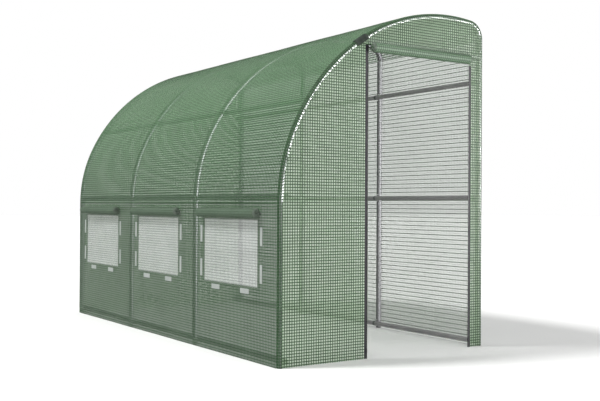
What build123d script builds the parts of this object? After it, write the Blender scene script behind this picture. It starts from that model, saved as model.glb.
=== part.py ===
"""Lean-to polytunnel greenhouse: four tube hoops, straight rails, a film cover, three netted
windows with rolled flaps and a doorway with its door rolled up.

Millimetres.  X runs along the tunnel towards the door end, Y from the curved front to the flat
back, Z up.  The origin is at the middle of the footprint, on the ground.
"""

from build123d import *
from math import asin, atan2, cos, degrees, radians, sin, sqrt
import os

# ------------------------------------------------------------------ cover outline
bay_count = 3
bay_length = 1000.0  # hoop to hoop
cover_depth = 1546.0  # front face to back face
front_height = 900.0  # upright part of the front
lower_bend_r = 1020.0
lower_bend_angle = 26.2
roof_r = 1307.0
corner_r = 114.0

# ------------------------------------------------------------------ film
film_t = 2.0
film_lift = 2.0  # film hem above the ground

# ------------------------------------------------------------------ tubes
tube_d = 35.0
tube_sides = 12  # the tubes of the hoops are drawn with this many flats
rail_d = 30.0
rail_end_gap = 2.5  # rail end to the end film
seat_gap = 0.3  # a round piece at rest on another
spigot_gap = 0.1  # sleeve over tube

joint_gap = 1.0  # between the two tubes of a back leg, inside their sleeve
sleeve_t = 1.2
sleeve_length = 72.0
side_joint_z = 1132.0  # middle of the sleeves at half height

foot_h = 6.0

# ------------------------------------------------------------------ rail heights
base_rail_z = 34.0
front_mid_z = 937.0
back_mid_z = 945.0
back_top_drop = 277.0  # back corner's bend to the rail
purlin_angle = 35.0  # round the roof arc, from level at the front
ridge_angle = 82.5

# ------------------------------------------------------------------ rail straps
strap_t = 2.0
strap_w = 20.0
strap_ear = 12.0
strap_gap = 0.5
strap_bends = 4  # flats round the rail

# ------------------------------------------------------------------ door end
door_front = 608.0  # front face of the cover to the doorway
door_back = 132.0  # doorway to the back face
header_drop = 235.0  # crown of the cover to the header
header_to_door = 20.0  # header down to the top of the doorway
socket_t = 2.4
arch_socket_reach = 96.0  # from the hoop's centreline
leg_socket_reach = 62.0
zip_w = 20.0
zip_t = 1.2
zip_chain_w = 6.0
zip_chain_t = 2.4
zip_roll_gap = 1.0  # zip to the roll above it
door_roll_r = 30.0
door_roll_drop = 37.0  # header down to the middle of the roll
door_roll_gap = 5.0  # roll to the front zip
door_roll_back_gap = 14.0  # roll to the back zip
door_tail_rise = 17.0  # header up to the seam of the rolled door

# ------------------------------------------------------------------ windows
window_width = 630.0
window_sill = 425.0
window_top = 806.0
window_shift = -20.0  # window centre from bay centre
net_t = 1.0
net_lap = 14.0
flap_roll_r = 29.0
flap_roll_z = 845.0
flap_roll_length = 710.0
flap_tail_top = 888.0
roll_film_t = 2.0
roll_pitch = 5.2
roll_half_turns = 6
roll_flats = 8  # each half turn is drawn with this many flats

tape_t = 1.5
side_tape_w = 25.0
side_tape_h = 106.0
side_tape_gap = 28.0  # window edge to tape
side_tape_zs = (502.0, 712.0)
sill_tape_w = 100.0
sill_tape_h = 30.0
sill_tape_gap = 16.0
sill_tape_offset = 172.0  # from window centre

# ------------------------------------------------------------------ worked out
film_gap = spigot_gap + sleeve_t + seat_gap  # tube to film, so that the film seats on the sleeves
corner_film_r = tube_d / 2 + film_gap  # inside of the film where it wraps round an end hoop
axis_inset = corner_film_r + film_t  # cover face to hoop centreline
frame_length = bay_count * bay_length
door_roll_reach = 2 * door_roll_r
flap_roll_reach = 2 * flap_roll_r

first_hoop_x = -(frame_length + door_roll_reach) / 2
hoop_xs = [first_hoop_x + bay_length * number for number in range(bay_count + 1)]
last_hoop_x = hoop_xs[-1]
far_face_x = first_hoop_x - axis_inset
door_face_x = last_hoop_x + axis_inset

front_face_y = (flap_roll_reach - cover_depth) / 2
back_face_y = front_face_y + cover_depth
front_axis_y = front_face_y + axis_inset
back_axis_y = back_face_y - axis_inset

bend_centre = (front_face_y + lower_bend_r, front_height)
roof_centre = (
    bend_centre[0] + (roof_r - lower_bend_r) * cos(radians(lower_bend_angle)),
    bend_centre[1] - (roof_r - lower_bend_r) * sin(radians(lower_bend_angle)),
)
corner_y = back_face_y - corner_r
corner_z = roof_centre[1] + sqrt((roof_r - corner_r) ** 2 - (corner_y - roof_centre[0]) ** 2)
corner_centre = (corner_y, corner_z)
corner_start = degrees(atan2(corner_z - roof_centre[1], corner_y - roof_centre[0]))
side_joint_angle = degrees(asin((side_joint_z - front_height) / (lower_bend_r - axis_inset)))
crown_joint_z = corner_z - sleeve_length / 2  # middle of the sleeves under the back corner
back_top_z = corner_z - back_top_drop

crown_z = roof_centre[1] + roof_r
header_z = crown_z - header_drop
door_top = header_z - header_to_door
door_roll_z = header_z - door_roll_drop
door_tail_top = header_z + door_tail_rise
door_front_y = front_face_y + door_front
door_back_y = back_face_y - door_back
window_xs = [x + bay_length / 2 + window_shift for x in hoop_xs[:-1]]

os.makedirs("parts", exist_ok=True)


def save(piece, name):
    """Label a finished piece and write its STEP file."""
    piece.part.label = name
    export_step(piece.part, f"parts/{name}.step")


# ------------------------------------------------------------------ cover and hoop outline
def bend_arc(inset, start, end):
    """Part of the lower bend, by its angles above level."""
    return CenterArc(bend_centre, lower_bend_r - inset, 180 - start, start - end)


def roof_arc(inset):
    """The roof arc, from the lower bend to the back corner."""
    start = 180 - lower_bend_angle
    return CenterArc(roof_centre, roof_r - inset, start, corner_start - start)


def corner_arc(inset):
    """The tight bend at the back corner."""
    return CenterArc(corner_centre, corner_r - inset, corner_start, -corner_start)


def arched_line(inset, low_z, x):
    """The whole outline from one foot to the other, set in from the cover's face."""
    with BuildLine(Plane.YZ.offset(x)) as outline:
        Line((front_face_y + inset, low_z), (front_face_y + inset, front_height))
        bend_arc(inset, 0, lower_bend_angle)
        roof_arc(inset)
        corner_arc(inset)
        Line((back_face_y - inset, corner_z), (back_face_y - inset, low_z))
    return outline


def section_plane(path):
    """Plane across the start of a path that lies in the plane of a hoop."""
    return Plane(origin=path @ 0, x_dir=(1, 0, 0), z_dir=path % 0)


def bent_tube(path, radius):
    """A hoop tube of the given radius, swept along its path."""
    with BuildPart() as tube:
        with BuildSketch(section_plane(path)):
            RegularPolygon(radius, tube_sides)
        sweep(path=path)
    return tube


# ------------------------------------------------------------------ hoops
def make_hoop(number, x):
    """The tubes of one hoop: front leg with its lower bend, roof arch and two-part back leg."""
    plane = Plane.YZ.offset(x)
    with BuildLine(plane) as leg_line:
        Line((front_axis_y, foot_h), (front_axis_y, front_height))
        bend_arc(axis_inset, 0, side_joint_angle)
    save(bent_tube(leg_line.wire(), tube_d / 2), f"hoop_{number}_front_leg")

    with BuildLine(plane) as arch_line:
        bend_arc(axis_inset, side_joint_angle, lower_bend_angle)
        roof_arc(axis_inset)
        corner_arc(axis_inset)
        Line((back_axis_y, corner_z), (back_axis_y, crown_joint_z))
    save(bent_tube(arch_line.wire(), tube_d / 2), f"hoop_{number}_roof_arch")

    with BuildPart() as back_leg:
        for low, high in ((foot_h, side_joint_z - joint_gap), (side_joint_z, crown_joint_z)):
            with BuildSketch(Plane.XY.offset(low)):
                with Locations((x, back_axis_y)):
                    RegularPolygon(tube_d / 2, tube_sides)
            extrude(amount=high - low)
    save(back_leg, f"hoop_{number}_back_leg")


def make_sleeves():
    """Sleeves over the tube joints of every hoop."""
    inner_r = tube_d / 2 + spigot_gap
    outer_r = inner_r + sleeve_t
    half_angle = degrees(sleeve_length / 2 / (lower_bend_r - axis_inset))
    with BuildPart() as sleeves:
        for x in hoop_xs:
            with BuildLine(Plane.YZ.offset(x)) as bent:
                bend_arc(axis_inset, side_joint_angle - half_angle, side_joint_angle + half_angle)
            path = bent.wire()
            with BuildSketch(section_plane(path)):
                RegularPolygon(outer_r, tube_sides)
                RegularPolygon(inner_r, tube_sides, mode=Mode.SUBTRACT)
            sweep(path=path)
            for middle in (side_joint_z, crown_joint_z):
                with BuildSketch(Plane.XY.offset(middle - sleeve_length / 2)):
                    with Locations((x, back_axis_y)):
                        RegularPolygon(outer_r, tube_sides)
                        RegularPolygon(inner_r, tube_sides, mode=Mode.SUBTRACT)
                extrude(amount=sleeve_length)
    return sleeves


def make_feet():
    """A plug with a flat sole under every leg."""
    with BuildPart() as feet:
        with BuildSketch(Plane.XY):
            with Locations(*[(x, y) for x in hoop_xs for y in (front_axis_y, back_axis_y)]):
                RegularPolygon(tube_d / 2, tube_sides)
        extrude(amount=foot_h)
    return feet


# ------------------------------------------------------------------ rails
def front_place(z):
    """Point on the front of the hoop's centreline and its inward direction."""
    if z <= front_height:
        return (front_axis_y, z), (1.0, 0.0)
    radius = lower_bend_r - axis_inset
    angle = asin((z - front_height) / radius)
    return (bend_centre[0] - radius * cos(angle), z), (cos(angle), -sin(angle))


def roof_place(angle):
    """Point on the roof arc's centreline and its inward direction."""
    radius = roof_r - axis_inset
    turn = radians(angle)
    point = (roof_centre[0] - radius * cos(turn), roof_centre[1] + radius * sin(turn))
    return point, (cos(turn), -sin(turn))


def back_place(z):
    """Point on the back leg's centreline and its inward direction."""
    return (back_axis_y, z), (-1.0, 0.0)


rail_places = {
    "front_base_rail": front_place(base_rail_z),
    "front_mid_rail": front_place(front_mid_z),
    "front_purlin": roof_place(purlin_angle),
    "ridge_purlin": roof_place(ridge_angle),
    "back_top_rail": back_place(back_top_z),
    "back_mid_rail": back_place(back_mid_z),
    "back_base_rail": back_place(base_rail_z),
}
rail_offset = tube_d / 2 + seat_gap + rail_d / 2
rail_start_x = far_face_x + film_t + rail_end_gap
rail_length = door_face_x - far_face_x - 2 * (film_t + rail_end_gap)


def make_rail(place):
    """A straight tube along the tunnel, on the inner side of the hoops."""
    (y, z), (inward_y, inward_z) = place
    with BuildPart() as rail:
        with BuildSketch(Plane.YZ.offset(rail_start_x)):
            with Locations((y + rail_offset * inward_y, z + rail_offset * inward_z)):
                Circle(rail_d / 2)
        extrude(amount=rail_length)
    return rail


def band_points(radius):
    """Corners of a band bent in flats over the inner half of a rail, from one side to the other."""
    corner_reach = radius / cos(radians(90 / strap_bends))
    turns = [90 / strap_bends * (2 * corner + 1) - 90 for corner in range(strap_bends)]
    corners = [
        (rail_offset + corner_reach * cos(radians(turn)), corner_reach * sin(radians(turn)))
        for turn in turns
    ]
    return [(rail_offset, -radius), *corners, (rail_offset, radius)]


def make_strap():
    """A two-eared strap, lying with its hoop along Y and its rail along Z, inward being +X."""
    ear_seat = tube_d / 2 + strap_gap
    inner_r = rail_d / 2 + strap_gap
    outer_r = inner_r + strap_t
    reach = outer_r + strap_ear
    with BuildPart() as strap:
        with BuildSketch(Plane.XY.offset(-strap_w / 2)):
            with BuildLine():
                Polyline(*band_points(outer_r))
                Polyline(*band_points(inner_r))
                for side in (1, -1):
                    Polyline(
                        (rail_offset, side * outer_r),
                        (ear_seat + strap_t, side * outer_r),
                        (ear_seat + strap_t, side * reach),
                        (ear_seat, side * reach),
                        (ear_seat, side * inner_r),
                        (rail_offset, side * inner_r),
                    )
            make_face()
        extrude(amount=strap_w)
    return strap


def make_straps():
    """A strap over each rail where it crosses a hoop."""
    strap = make_strap()
    crossings = [
        Plane(origin=(x, y, z), x_dir=(0, inward_y, inward_z), z_dir=(1, 0, 0)).location
        for (y, z), (inward_y, inward_z) in rail_places.values()
        for x in hoop_xs
    ]
    with BuildPart() as straps:
        with Locations(*crossings):
            add(strap.part)
    return straps


# ------------------------------------------------------------------ door header
def make_header():
    """The tube over the doorway, coped to the hoop at both ends, and its two sockets."""
    room = bent_tube(
        arched_line(axis_inset, foot_h, last_hoop_x).wire(), tube_d / 2 + seat_gap
    )
    arch_y = roof_centre[0] - sqrt((roof_r - axis_inset) ** 2 - (header_z - roof_centre[1]) ** 2)
    socket_inner_r = rail_d / 2 + spigot_gap

    with BuildPart() as header:
        with BuildSketch(Plane.XZ.offset(-arch_y)):
            with Locations((last_hoop_x, header_z)):
                RegularPolygon(rail_d / 2, tube_sides)
        extrude(amount=-(back_axis_y - arch_y))
        add(room.part, mode=Mode.SUBTRACT)
    save(header, "door_header")

    with BuildPart() as sockets:
        for start_y, length in (
            (arch_y, arch_socket_reach),
            (back_axis_y - leg_socket_reach, leg_socket_reach),
        ):
            with BuildSketch(Plane.XZ.offset(-start_y)):
                with Locations((last_hoop_x, header_z)):
                    RegularPolygon(socket_inner_r + socket_t, tube_sides)
                    RegularPolygon(socket_inner_r, tube_sides, mode=Mode.SUBTRACT)
            extrude(amount=-length)
        add(room.part, mode=Mode.SUBTRACT)
    save(sockets, "header_sockets")


# ------------------------------------------------------------------ film cover
def end_outline():
    """Edges of an end panel: the hoop's centreline, closed along the hem."""
    with BuildLine() as outline:
        Line((front_axis_y, film_lift), (front_axis_y, front_height))
        bend_arc(axis_inset, 0, lower_bend_angle)
        roof_arc(axis_inset)
        corner_arc(axis_inset)
        Line((back_axis_y, corner_z), (back_axis_y, film_lift))
        Line((back_axis_y, film_lift), (front_axis_y, film_lift))
    return outline.edges()


def make_roof_film():
    """The film over both arcs and the back corner."""
    with BuildPart() as film:
        with BuildSketch(Plane.YZ.offset(first_hoop_x)):
            with BuildLine():
                for inset in (0.0, film_t):
                    bend_arc(inset, 0, lower_bend_angle)
                    roof_arc(inset)
                    corner_arc(inset)
                Line((front_face_y, front_height), (front_face_y + film_t, front_height))
                Line((back_face_y, corner_z), (back_face_y - film_t, corner_z))
            make_face()
        extrude(amount=frame_length)
    return film


def make_front_film():
    """The upright front with its three window openings."""
    window_height = window_top - window_sill
    with BuildPart() as film:
        with BuildSketch(Plane.XZ.offset(-front_face_y)):
            with Locations(((first_hoop_x + last_hoop_x) / 2, (film_lift + front_height) / 2)):
                Rectangle(frame_length, front_height - film_lift)
            with Locations(*[(x, window_sill + window_height / 2) for x in window_xs]):
                Rectangle(window_width, window_height, mode=Mode.SUBTRACT)
        extrude(amount=-film_t)
    return film


def make_back_film():
    """The flat back."""
    with BuildPart() as film:
        with BuildSketch(Plane.XZ.offset(-back_face_y)):
            with Locations(((first_hoop_x + last_hoop_x) / 2, (film_lift + corner_z) / 2)):
                Rectangle(frame_length, corner_z - film_lift)
        extrude(amount=film_t)
    return film


def make_end_film(inner_x, low_y, high_y, low_z, high_z):
    """An end panel, or the part of it within the given limits."""
    with BuildPart() as film:
        with BuildSketch(Plane.YZ.offset(inner_x)):
            make_face(end_outline())
            with Locations(((low_y + high_y) / 2, (low_z + high_z) / 2)):
                Rectangle(high_y - low_y, high_z - low_z, mode=Mode.INTERSECT)
        extrude(amount=film_t)
    return film


def make_corner_film(hoop_x, outward):
    """The film where it wraps a quarter turn round an end hoop, from the cover to the end panel."""
    path = arched_line(axis_inset, film_lift, hoop_x).wire()
    with BuildPart() as film:
        with BuildSketch(section_plane(path)):
            RegularPolygon(corner_film_r + film_t, tube_sides)
            RegularPolygon(corner_film_r, tube_sides, mode=Mode.SUBTRACT)
            with Locations((outward * axis_inset / 2, -axis_inset / 2)):
                Rectangle(axis_inset, axis_inset, mode=Mode.INTERSECT)
        sweep(path=path)
    return film


# ------------------------------------------------------------------ rolled film
def roll_side(radius, roll_z, tail_top, offset):
    """Corners along one side of rolled film: its tail, then half turns drawn in flats.

    The face that the roll lies against is the Y axis, and the roll is on its positive side.
    The offset is from the middle of the film, outwards.
    """
    inner_x = roll_film_t / 2
    outer_x = 2 * radius - roll_film_t / 2
    corners = [(inner_x - offset, tail_top), (inner_x - offset, roll_z)]
    for half_turn in range(roll_half_turns):
        centre_x = (inner_x + outer_x) / 2
        turn_r = (outer_x - inner_x) / 2 + offset
        start = 180 - 180 * (half_turn % 2)
        for flat in range(1, roll_flats + 1):
            turn = radians(start + 180 * flat / roll_flats)
            corners.append((centre_x + turn_r * cos(turn), roll_z + turn_r * sin(turn)))
        if half_turn % 2 == 0:
            inner_x += roll_pitch
        else:
            outer_x -= roll_pitch
    return corners


def roll_outline(radius, roll_z, tail_top):
    """Edges round the end of film rolled up against a face."""
    outside = roll_side(radius, roll_z, tail_top, roll_film_t / 2)
    inside = roll_side(radius, roll_z, tail_top, -roll_film_t / 2)
    with BuildLine() as outline:
        Polyline(*outside, *reversed(inside), close=True)
    return outline.edges()


def make_door_roll():
    """The door rolled up over the doorway."""
    back_end = door_back_y - door_roll_back_gap
    start = Plane(
        origin=(door_face_x, back_end, 0),
        x_dir=(1, 0, 0),
        z_dir=(0, -1, 0),
    )
    with BuildPart() as roll:
        with BuildSketch(start):
            make_face(roll_outline(door_roll_r, door_roll_z, door_tail_top))
        extrude(amount=back_end - door_front_y - door_roll_gap)
    return roll


def make_flap(centre_x):
    """A window flap rolled up over its window."""
    start = Plane(
        origin=(centre_x + flap_roll_length / 2, front_face_y, 0),
        x_dir=(0, -1, 0),
        z_dir=(-1, 0, 0),
    )
    with BuildPart() as flap:
        with BuildSketch(start):
            make_face(roll_outline(flap_roll_r, flap_roll_z, flap_tail_top))
        extrude(amount=flap_roll_length)
    return flap


# ------------------------------------------------------------------ windows and doorway trim
def make_net(centre_x):
    """The insect net sewn behind a window opening."""
    with BuildPart() as net:
        with BuildSketch(Plane.XZ.offset(-(front_face_y + film_t))):
            with Locations((centre_x, (window_sill + window_top) / 2)):
                Rectangle(window_width + 2 * net_lap, window_top - window_sill + 2 * net_lap)
        extrude(amount=-net_t)
    return net


def make_tapes():
    """Hook tapes that hold the flaps down: two down each side and two under each sill."""
    side_offset = window_width / 2 + side_tape_gap + side_tape_w / 2
    sill_z = window_sill - sill_tape_gap - sill_tape_h / 2
    sides = [(x + s * side_offset, z) for x in window_xs for s in (-1, 1) for z in side_tape_zs]
    sills = [(x + s * sill_tape_offset, sill_z) for x in window_xs for s in (-1, 1)]
    with BuildPart() as tapes:
        with BuildSketch(Plane.XZ.offset(-front_face_y)):
            with Locations(*sides):
                Rectangle(side_tape_w, side_tape_h)
            with Locations(*sills):
                Rectangle(sill_tape_w, sill_tape_h)
        extrude(amount=tape_t)
    return tapes


def make_zip(edge_y, outward, top_z):
    """The zip along one side of the doorway: its tape and, at the free edge, its chain."""
    height = top_z - film_lift
    middle_z = film_lift + height / 2
    with BuildPart() as strip:
        with BuildSketch(Plane.YZ.offset(door_face_x)):
            with Locations((edge_y + outward * zip_w / 2, middle_z)):
                Rectangle(zip_w, height)
        extrude(amount=zip_t)
        with BuildSketch(Plane.YZ.offset(door_face_x)):
            with Locations((edge_y + outward * zip_chain_w / 2, middle_z)):
                Rectangle(zip_chain_w, height)
        extrude(amount=zip_chain_t)
    return strip


# ------------------------------------------------------------------ the whole tunnel
for hoop_number, hoop_x in enumerate(hoop_xs, start=1):
    make_hoop(hoop_number, hoop_x)
save(make_sleeves(), "hoop_sleeves")
save(make_feet(), "foot_plugs")
for rail_name, rail_place in rail_places.items():
    save(make_rail(rail_place), rail_name)
save(make_straps(), "rail_straps")
make_header()

door_film_x = door_face_x - film_t
save(make_front_film(), "front_film")
save(make_roof_film(), "roof_film")
save(make_back_film(), "back_film")
save(make_end_film(far_face_x, front_face_y, back_face_y, film_lift, crown_z), "far_end_film")
save(
    make_end_film(door_film_x, front_face_y, door_front_y, film_lift, door_top),
    "door_end_front_film",
)
save(
    make_end_film(door_film_x, door_back_y, back_face_y, film_lift, door_top),
    "door_end_back_film",
)
save(make_end_film(door_film_x, front_face_y, back_face_y, door_top, crown_z), "door_end_top_film")
save(make_corner_film(last_hoop_x, 1), "door_end_corner_film")
save(make_corner_film(first_hoop_x, -1), "far_end_corner_film")

save(make_door_roll(), "door_roll")
save(make_zip(door_front_y, -1, door_top), "door_zip_front")
save(make_zip(door_back_y, 1, door_roll_z - door_roll_r - zip_roll_gap), "door_zip_back")
for window_number, window_x in enumerate(window_xs, start=1):
    save(make_flap(window_x), f"window_{window_number}_flap")
    save(make_net(window_x), f"window_{window_number}_net")
save(make_tapes(), "window_tapes")
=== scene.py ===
"""Looks of a lean-to polytunnel greenhouse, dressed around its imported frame.

The steel tubes, the mesh film with its threads, the netted windows with their rolled flaps, the
rolled door and the zips are built here as meshes in metres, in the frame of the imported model.
"""

import logging
from dataclasses import dataclass, field
from enum import Enum
from functools import cached_property
from math import atan2, ceil, cos, pi, radians, sin, sqrt, tau
from typing import Any, NamedTuple, Optional, Sequence, Union

import bpy
import numpy as np
from mathutils import Matrix, Vector


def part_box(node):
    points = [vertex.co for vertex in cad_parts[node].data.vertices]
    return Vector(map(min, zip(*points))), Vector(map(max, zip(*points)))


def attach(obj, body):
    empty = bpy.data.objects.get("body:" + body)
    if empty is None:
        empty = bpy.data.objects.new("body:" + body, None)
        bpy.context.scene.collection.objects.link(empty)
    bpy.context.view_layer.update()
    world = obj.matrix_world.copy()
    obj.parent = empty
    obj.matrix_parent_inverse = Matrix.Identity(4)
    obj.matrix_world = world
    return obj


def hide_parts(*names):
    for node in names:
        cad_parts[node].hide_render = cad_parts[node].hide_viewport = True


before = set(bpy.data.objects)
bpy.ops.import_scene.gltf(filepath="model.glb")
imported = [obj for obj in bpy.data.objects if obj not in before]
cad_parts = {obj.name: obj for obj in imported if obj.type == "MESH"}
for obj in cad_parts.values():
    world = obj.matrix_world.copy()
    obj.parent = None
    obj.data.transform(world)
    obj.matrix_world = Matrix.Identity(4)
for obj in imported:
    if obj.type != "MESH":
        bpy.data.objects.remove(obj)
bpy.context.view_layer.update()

LOG = logging.getLogger("polytunnel")
Colour = tuple[float, float, float]


class Slot(Enum):
    """The record's material slots, which the pieces are passed but not put in."""

    TUBE = "galvanised_tube"
    FITTING = "steel_fittings"
    RUBBER = "rubber_plugs"
    GREEN_FILM = "green_film"
    CLEAR_FILM = "clear_film"
    ROLLED_FILM = "rolled_film"
    NET = "insect_net"
    HOOK_TAPE = "hook_tape"
    ZIP = "black_zip"


# ---- shader maths
class Shade:
    """One output of a shader node, with the operators that its numbers need."""

    def __init__(self, graph: "Graph", socket: Optional[bpy.types.NodeSocket]) -> None:
        """Wraps a socket.

        Args:
            graph: the material's graph that the socket is in.
            socket: the output socket, or None for a node without one.
        """
        self.graph = graph
        self.socket = socket

    def _maths(self, operation: str, first: "Value", second: "Value") -> "Shade":
        """The result of a Math node on two values."""
        return self.graph.node("ShaderNodeMath", {"operation": operation}, {0: first, 1: second})

    def __add__(self, other: "Value") -> "Shade":
        """Sum."""
        return self._maths("ADD", self, other)

    __radd__ = __add__

    def __sub__(self, other: "Value") -> "Shade":
        """Difference."""
        return self._maths("SUBTRACT", self, other)

    def __rsub__(self, other: "Value") -> "Shade":
        """Difference, with this value taken away."""
        return self._maths("SUBTRACT", other, self)

    def __mul__(self, other: "Value") -> "Shade":
        """Product."""
        return self._maths("MULTIPLY", self, other)

    __rmul__ = __mul__

    def __pow__(self, other: "Value") -> "Shade":
        """Power."""
        return self._maths("POWER", self, other)


Value = Union[Shade, float]


class Graph:
    """The node graph of one material or world."""

    def __init__(self, owner: Union[bpy.types.Material, bpy.types.World]) -> None:
        """Starts with no nodes.

        Args:
            owner: the material or world that the nodes are for.
        """
        self.owner = owner
        owner.use_nodes = True
        self.tree = owner.node_tree
        self.tree.nodes.clear()

    @classmethod
    def of_material(cls, name: str) -> "Graph":
        """The empty graph of a new material."""
        return cls(bpy.data.materials.new(name))

    def node(
        self,
        kind: str,
        settings: Optional[dict[str, Any]] = None,
        inputs: Optional[dict[Union[int, str], Any]] = None,
        output: Union[int, str] = 0,
    ) -> Shade:
        """Adds a node.

        Args:
            kind: the node's type.
            settings: its properties, set first.
            inputs: values or links of its input sockets, by name or number.
            output: which of its outputs is returned.

        Returns:
            The chosen output.
        """
        made = self.tree.nodes.new(kind)
        for key, value in (settings or {}).items():
            setattr(made, key, value)
        for key, value in (inputs or {}).items():
            if isinstance(value, Shade):
                self.tree.links.new(value.socket, made.inputs[key])
            elif isinstance(value, tuple) and len(value) == 3 and made.inputs[key].type == "RGBA":
                made.inputs[key].default_value = (*value, 1.0)
            else:
                made.inputs[key].default_value = value
        return Shade(self, made.outputs[output] if made.outputs else None)

    def place(self) -> Shade:
        """The point's own coordinates."""
        return self.node("ShaderNodeTexCoord", output="Object")

    def stretched(self, scale: tuple[float, float, float]) -> Shade:
        """The point's coordinates, scaled along each axis."""
        return self.node("ShaderNodeMapping", inputs={"Vector": self.place(), "Scale": scale})

    def noise(self, scale: float, detail: float = 3.0, at: Optional[Shade] = None) -> Shade:
        """Soft noise between 0 and 1.

        Args:
            scale: spots per metre.
            detail: octaves.
            at: where it is read, or the point's own coordinates.

        Returns:
            The noise's value.
        """
        return self.node(
            "ShaderNodeTexNoise",
            inputs={"Vector": at or self.place(), "Scale": scale, "Detail": detail},
        )

    def seen(self) -> Shade:
        """Tells what is looked at from what only gives soft light.

        Returns:
            1 for what the eye meets straight on, in a reflection or through glass, otherwise 0.
        """
        kinds = ("Is Camera Ray", "Is Glossy Ray", "Is Transmission Ray")
        rays = [self.node("ShaderNodeLightPath", output=kind) for kind in kinds]
        return self.ramp(rays[0] + rays[1] + rays[2], 0.0, 1.0)

    def ramp(self, value: Shade, low: float, high: float) -> Shade:
        """Stretches a part of a value.

        Args:
            value: the value.
            low: what becomes 0.
            high: what becomes 1.

        Returns:
            The stretched value, between 0 and 1.
        """
        return self.node(
            "ShaderNodeMapRange",
            {"clamp": True},
            {"Value": value, "From Min": low, "From Max": high},
        )

    def blend(self, factor: Value, first: Any, second: Any) -> Shade:
        """Blends two colours.

        Args:
            factor: how much of the second shows, 0 to 1.
            first: a colour.
            second: another.

        Returns:
            The colour between them.
        """
        return self.node(
            "ShaderNodeMix", {"data_type": "RGBA"}, {0: factor, 6: first, 7: second}, output=2
        )

    def bump(self, height: Shade, strength: float, distance: float) -> Shade:
        """A normal raised by a height.

        Args:
            height: the height's value, 0 to 1.
            strength: how much of it shows.
            distance: how high 1 is, in metres.

        Returns:
            The bumped normal.
        """
        return self.node(
            "ShaderNodeBump",
            inputs={"Height": height, "Strength": strength, "Distance": distance},
        )

    def surface(self, inputs: dict[str, Any]) -> bpy.types.Material:
        """Ends the graph in one shader with the given sockets and returns the material."""
        shader = self.node("ShaderNodeBsdfPrincipled", inputs=inputs)
        return self.finish(shader)

    def finish(self, shader: Shade) -> bpy.types.Material:
        """Links a shader to the output and returns the material."""
        self.node("ShaderNodeOutputMaterial", inputs={"Surface": shader})
        return self.owner


# ---- finishes
class Finish:
    """Base of the finishes: makes its material once."""

    made: dict["Finish", bpy.types.Material] = {}

    def material(self) -> bpy.types.Material:
        """Makes the material when it is first asked for.

        Returns:
            The finish's one material.
        """
        if self not in Finish.made:
            Finish.made[self] = self.build()
        return Finish.made[self]

    def build(self) -> bpy.types.Material:
        """Makes the material, in each finish's own way."""
        raise NotImplementedError


@dataclass(frozen=True)
class FilmFinish(Finish):
    """Translucent sheet between the threads of the mesh film.

    Where it has a low colour, that colour passes into the film's own between the heights in fade.
    """

    name: str
    clear: Colour
    cloudy: Colour
    opacity: float
    glow: float = 0.12
    roughness: float = 0.28
    crinkle: float = 0.25
    slant: float = 0.9
    shine: float = 0.08
    low: Optional[Colour] = None
    fade: tuple[float, float] = (0.96, 1.50)

    def build(self) -> bpy.types.Material:
        """Makes the material: dusty, cloudy and crinkled, and denser seen edge on.

        Returns:
            The new material.
        """
        graph = Graph.of_material(self.name)
        edge_on = graph.node("ShaderNodeLayerWeight", inputs={"Blend": 0.5}, output="Facing")
        thicker = edge_on**2.2 * (self.slant * (1.0 - self.opacity))
        clouds = graph.ramp(graph.noise(2.2, 4.0), 0.35, 0.7)
        dust = graph.ramp(graph.noise(26.0, 5.0), 0.45, 0.75)
        folds = graph.noise(14.0, 3.0) + graph.noise(70.0, 2.0) * 0.25
        tone = graph.blend(clouds * 0.7 + dust * 0.2, self.clear, self.cloudy)
        if self.low:
            height = graph.node("ShaderNodeSeparateXYZ", inputs={0: graph.place()}, output="Z")
            tone = graph.blend(graph.ramp(height, *self.fade), self.low, tone)
        sheet = graph.node(
            "ShaderNodeBsdfPrincipled",
            inputs={
                "Base Color": tone,
                "Roughness": self.roughness + dust * 0.14,
                "Specular IOR Level": self.shine,
                "Alpha": self.opacity * (0.92 + clouds * 0.16) + thicker,
                "Normal": graph.bump(folds, self.crinkle, 0.004),
            },
        )
        through = graph.node("ShaderNodeBsdfTranslucent", inputs={"Color": self.clear})
        return graph.finish(
            graph.node("ShaderNodeMixShader", inputs={0: self.glow, 1: sheet, 2: through})
        )


@dataclass(frozen=True)
class ThreadFinish(Finish):
    """Flat plastic threads welded into the film."""

    name: str
    light: Colour
    dark: Colour
    shine: float = 0.04

    def build(self) -> bpy.types.Material:
        """Makes the material: fine strands in slightly uneven plastic.

        Returns:
            The new material.
        """
        graph = Graph.of_material(self.name)
        patches = graph.ramp(graph.noise(7.0, 4.0), 0.3, 0.7)
        strands = graph.node(
            "ShaderNodeTexWave",
            {"wave_type": "BANDS", "bands_direction": "DIAGONAL"},
            {"Scale": 320.0, "Distortion": 1.5, "Detail": 1.0, "Vector": graph.place()},
            output="Fac",
        )
        return graph.surface(
            {
                "Base Color": graph.blend(patches * 0.8 + strands * 0.2, self.dark, self.light),
                "Roughness": 0.52 + strands * 0.16,
                "Specular IOR Level": self.shine,
                "Normal": graph.bump(strands, 0.35, 0.0003),
            }
        )


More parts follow.
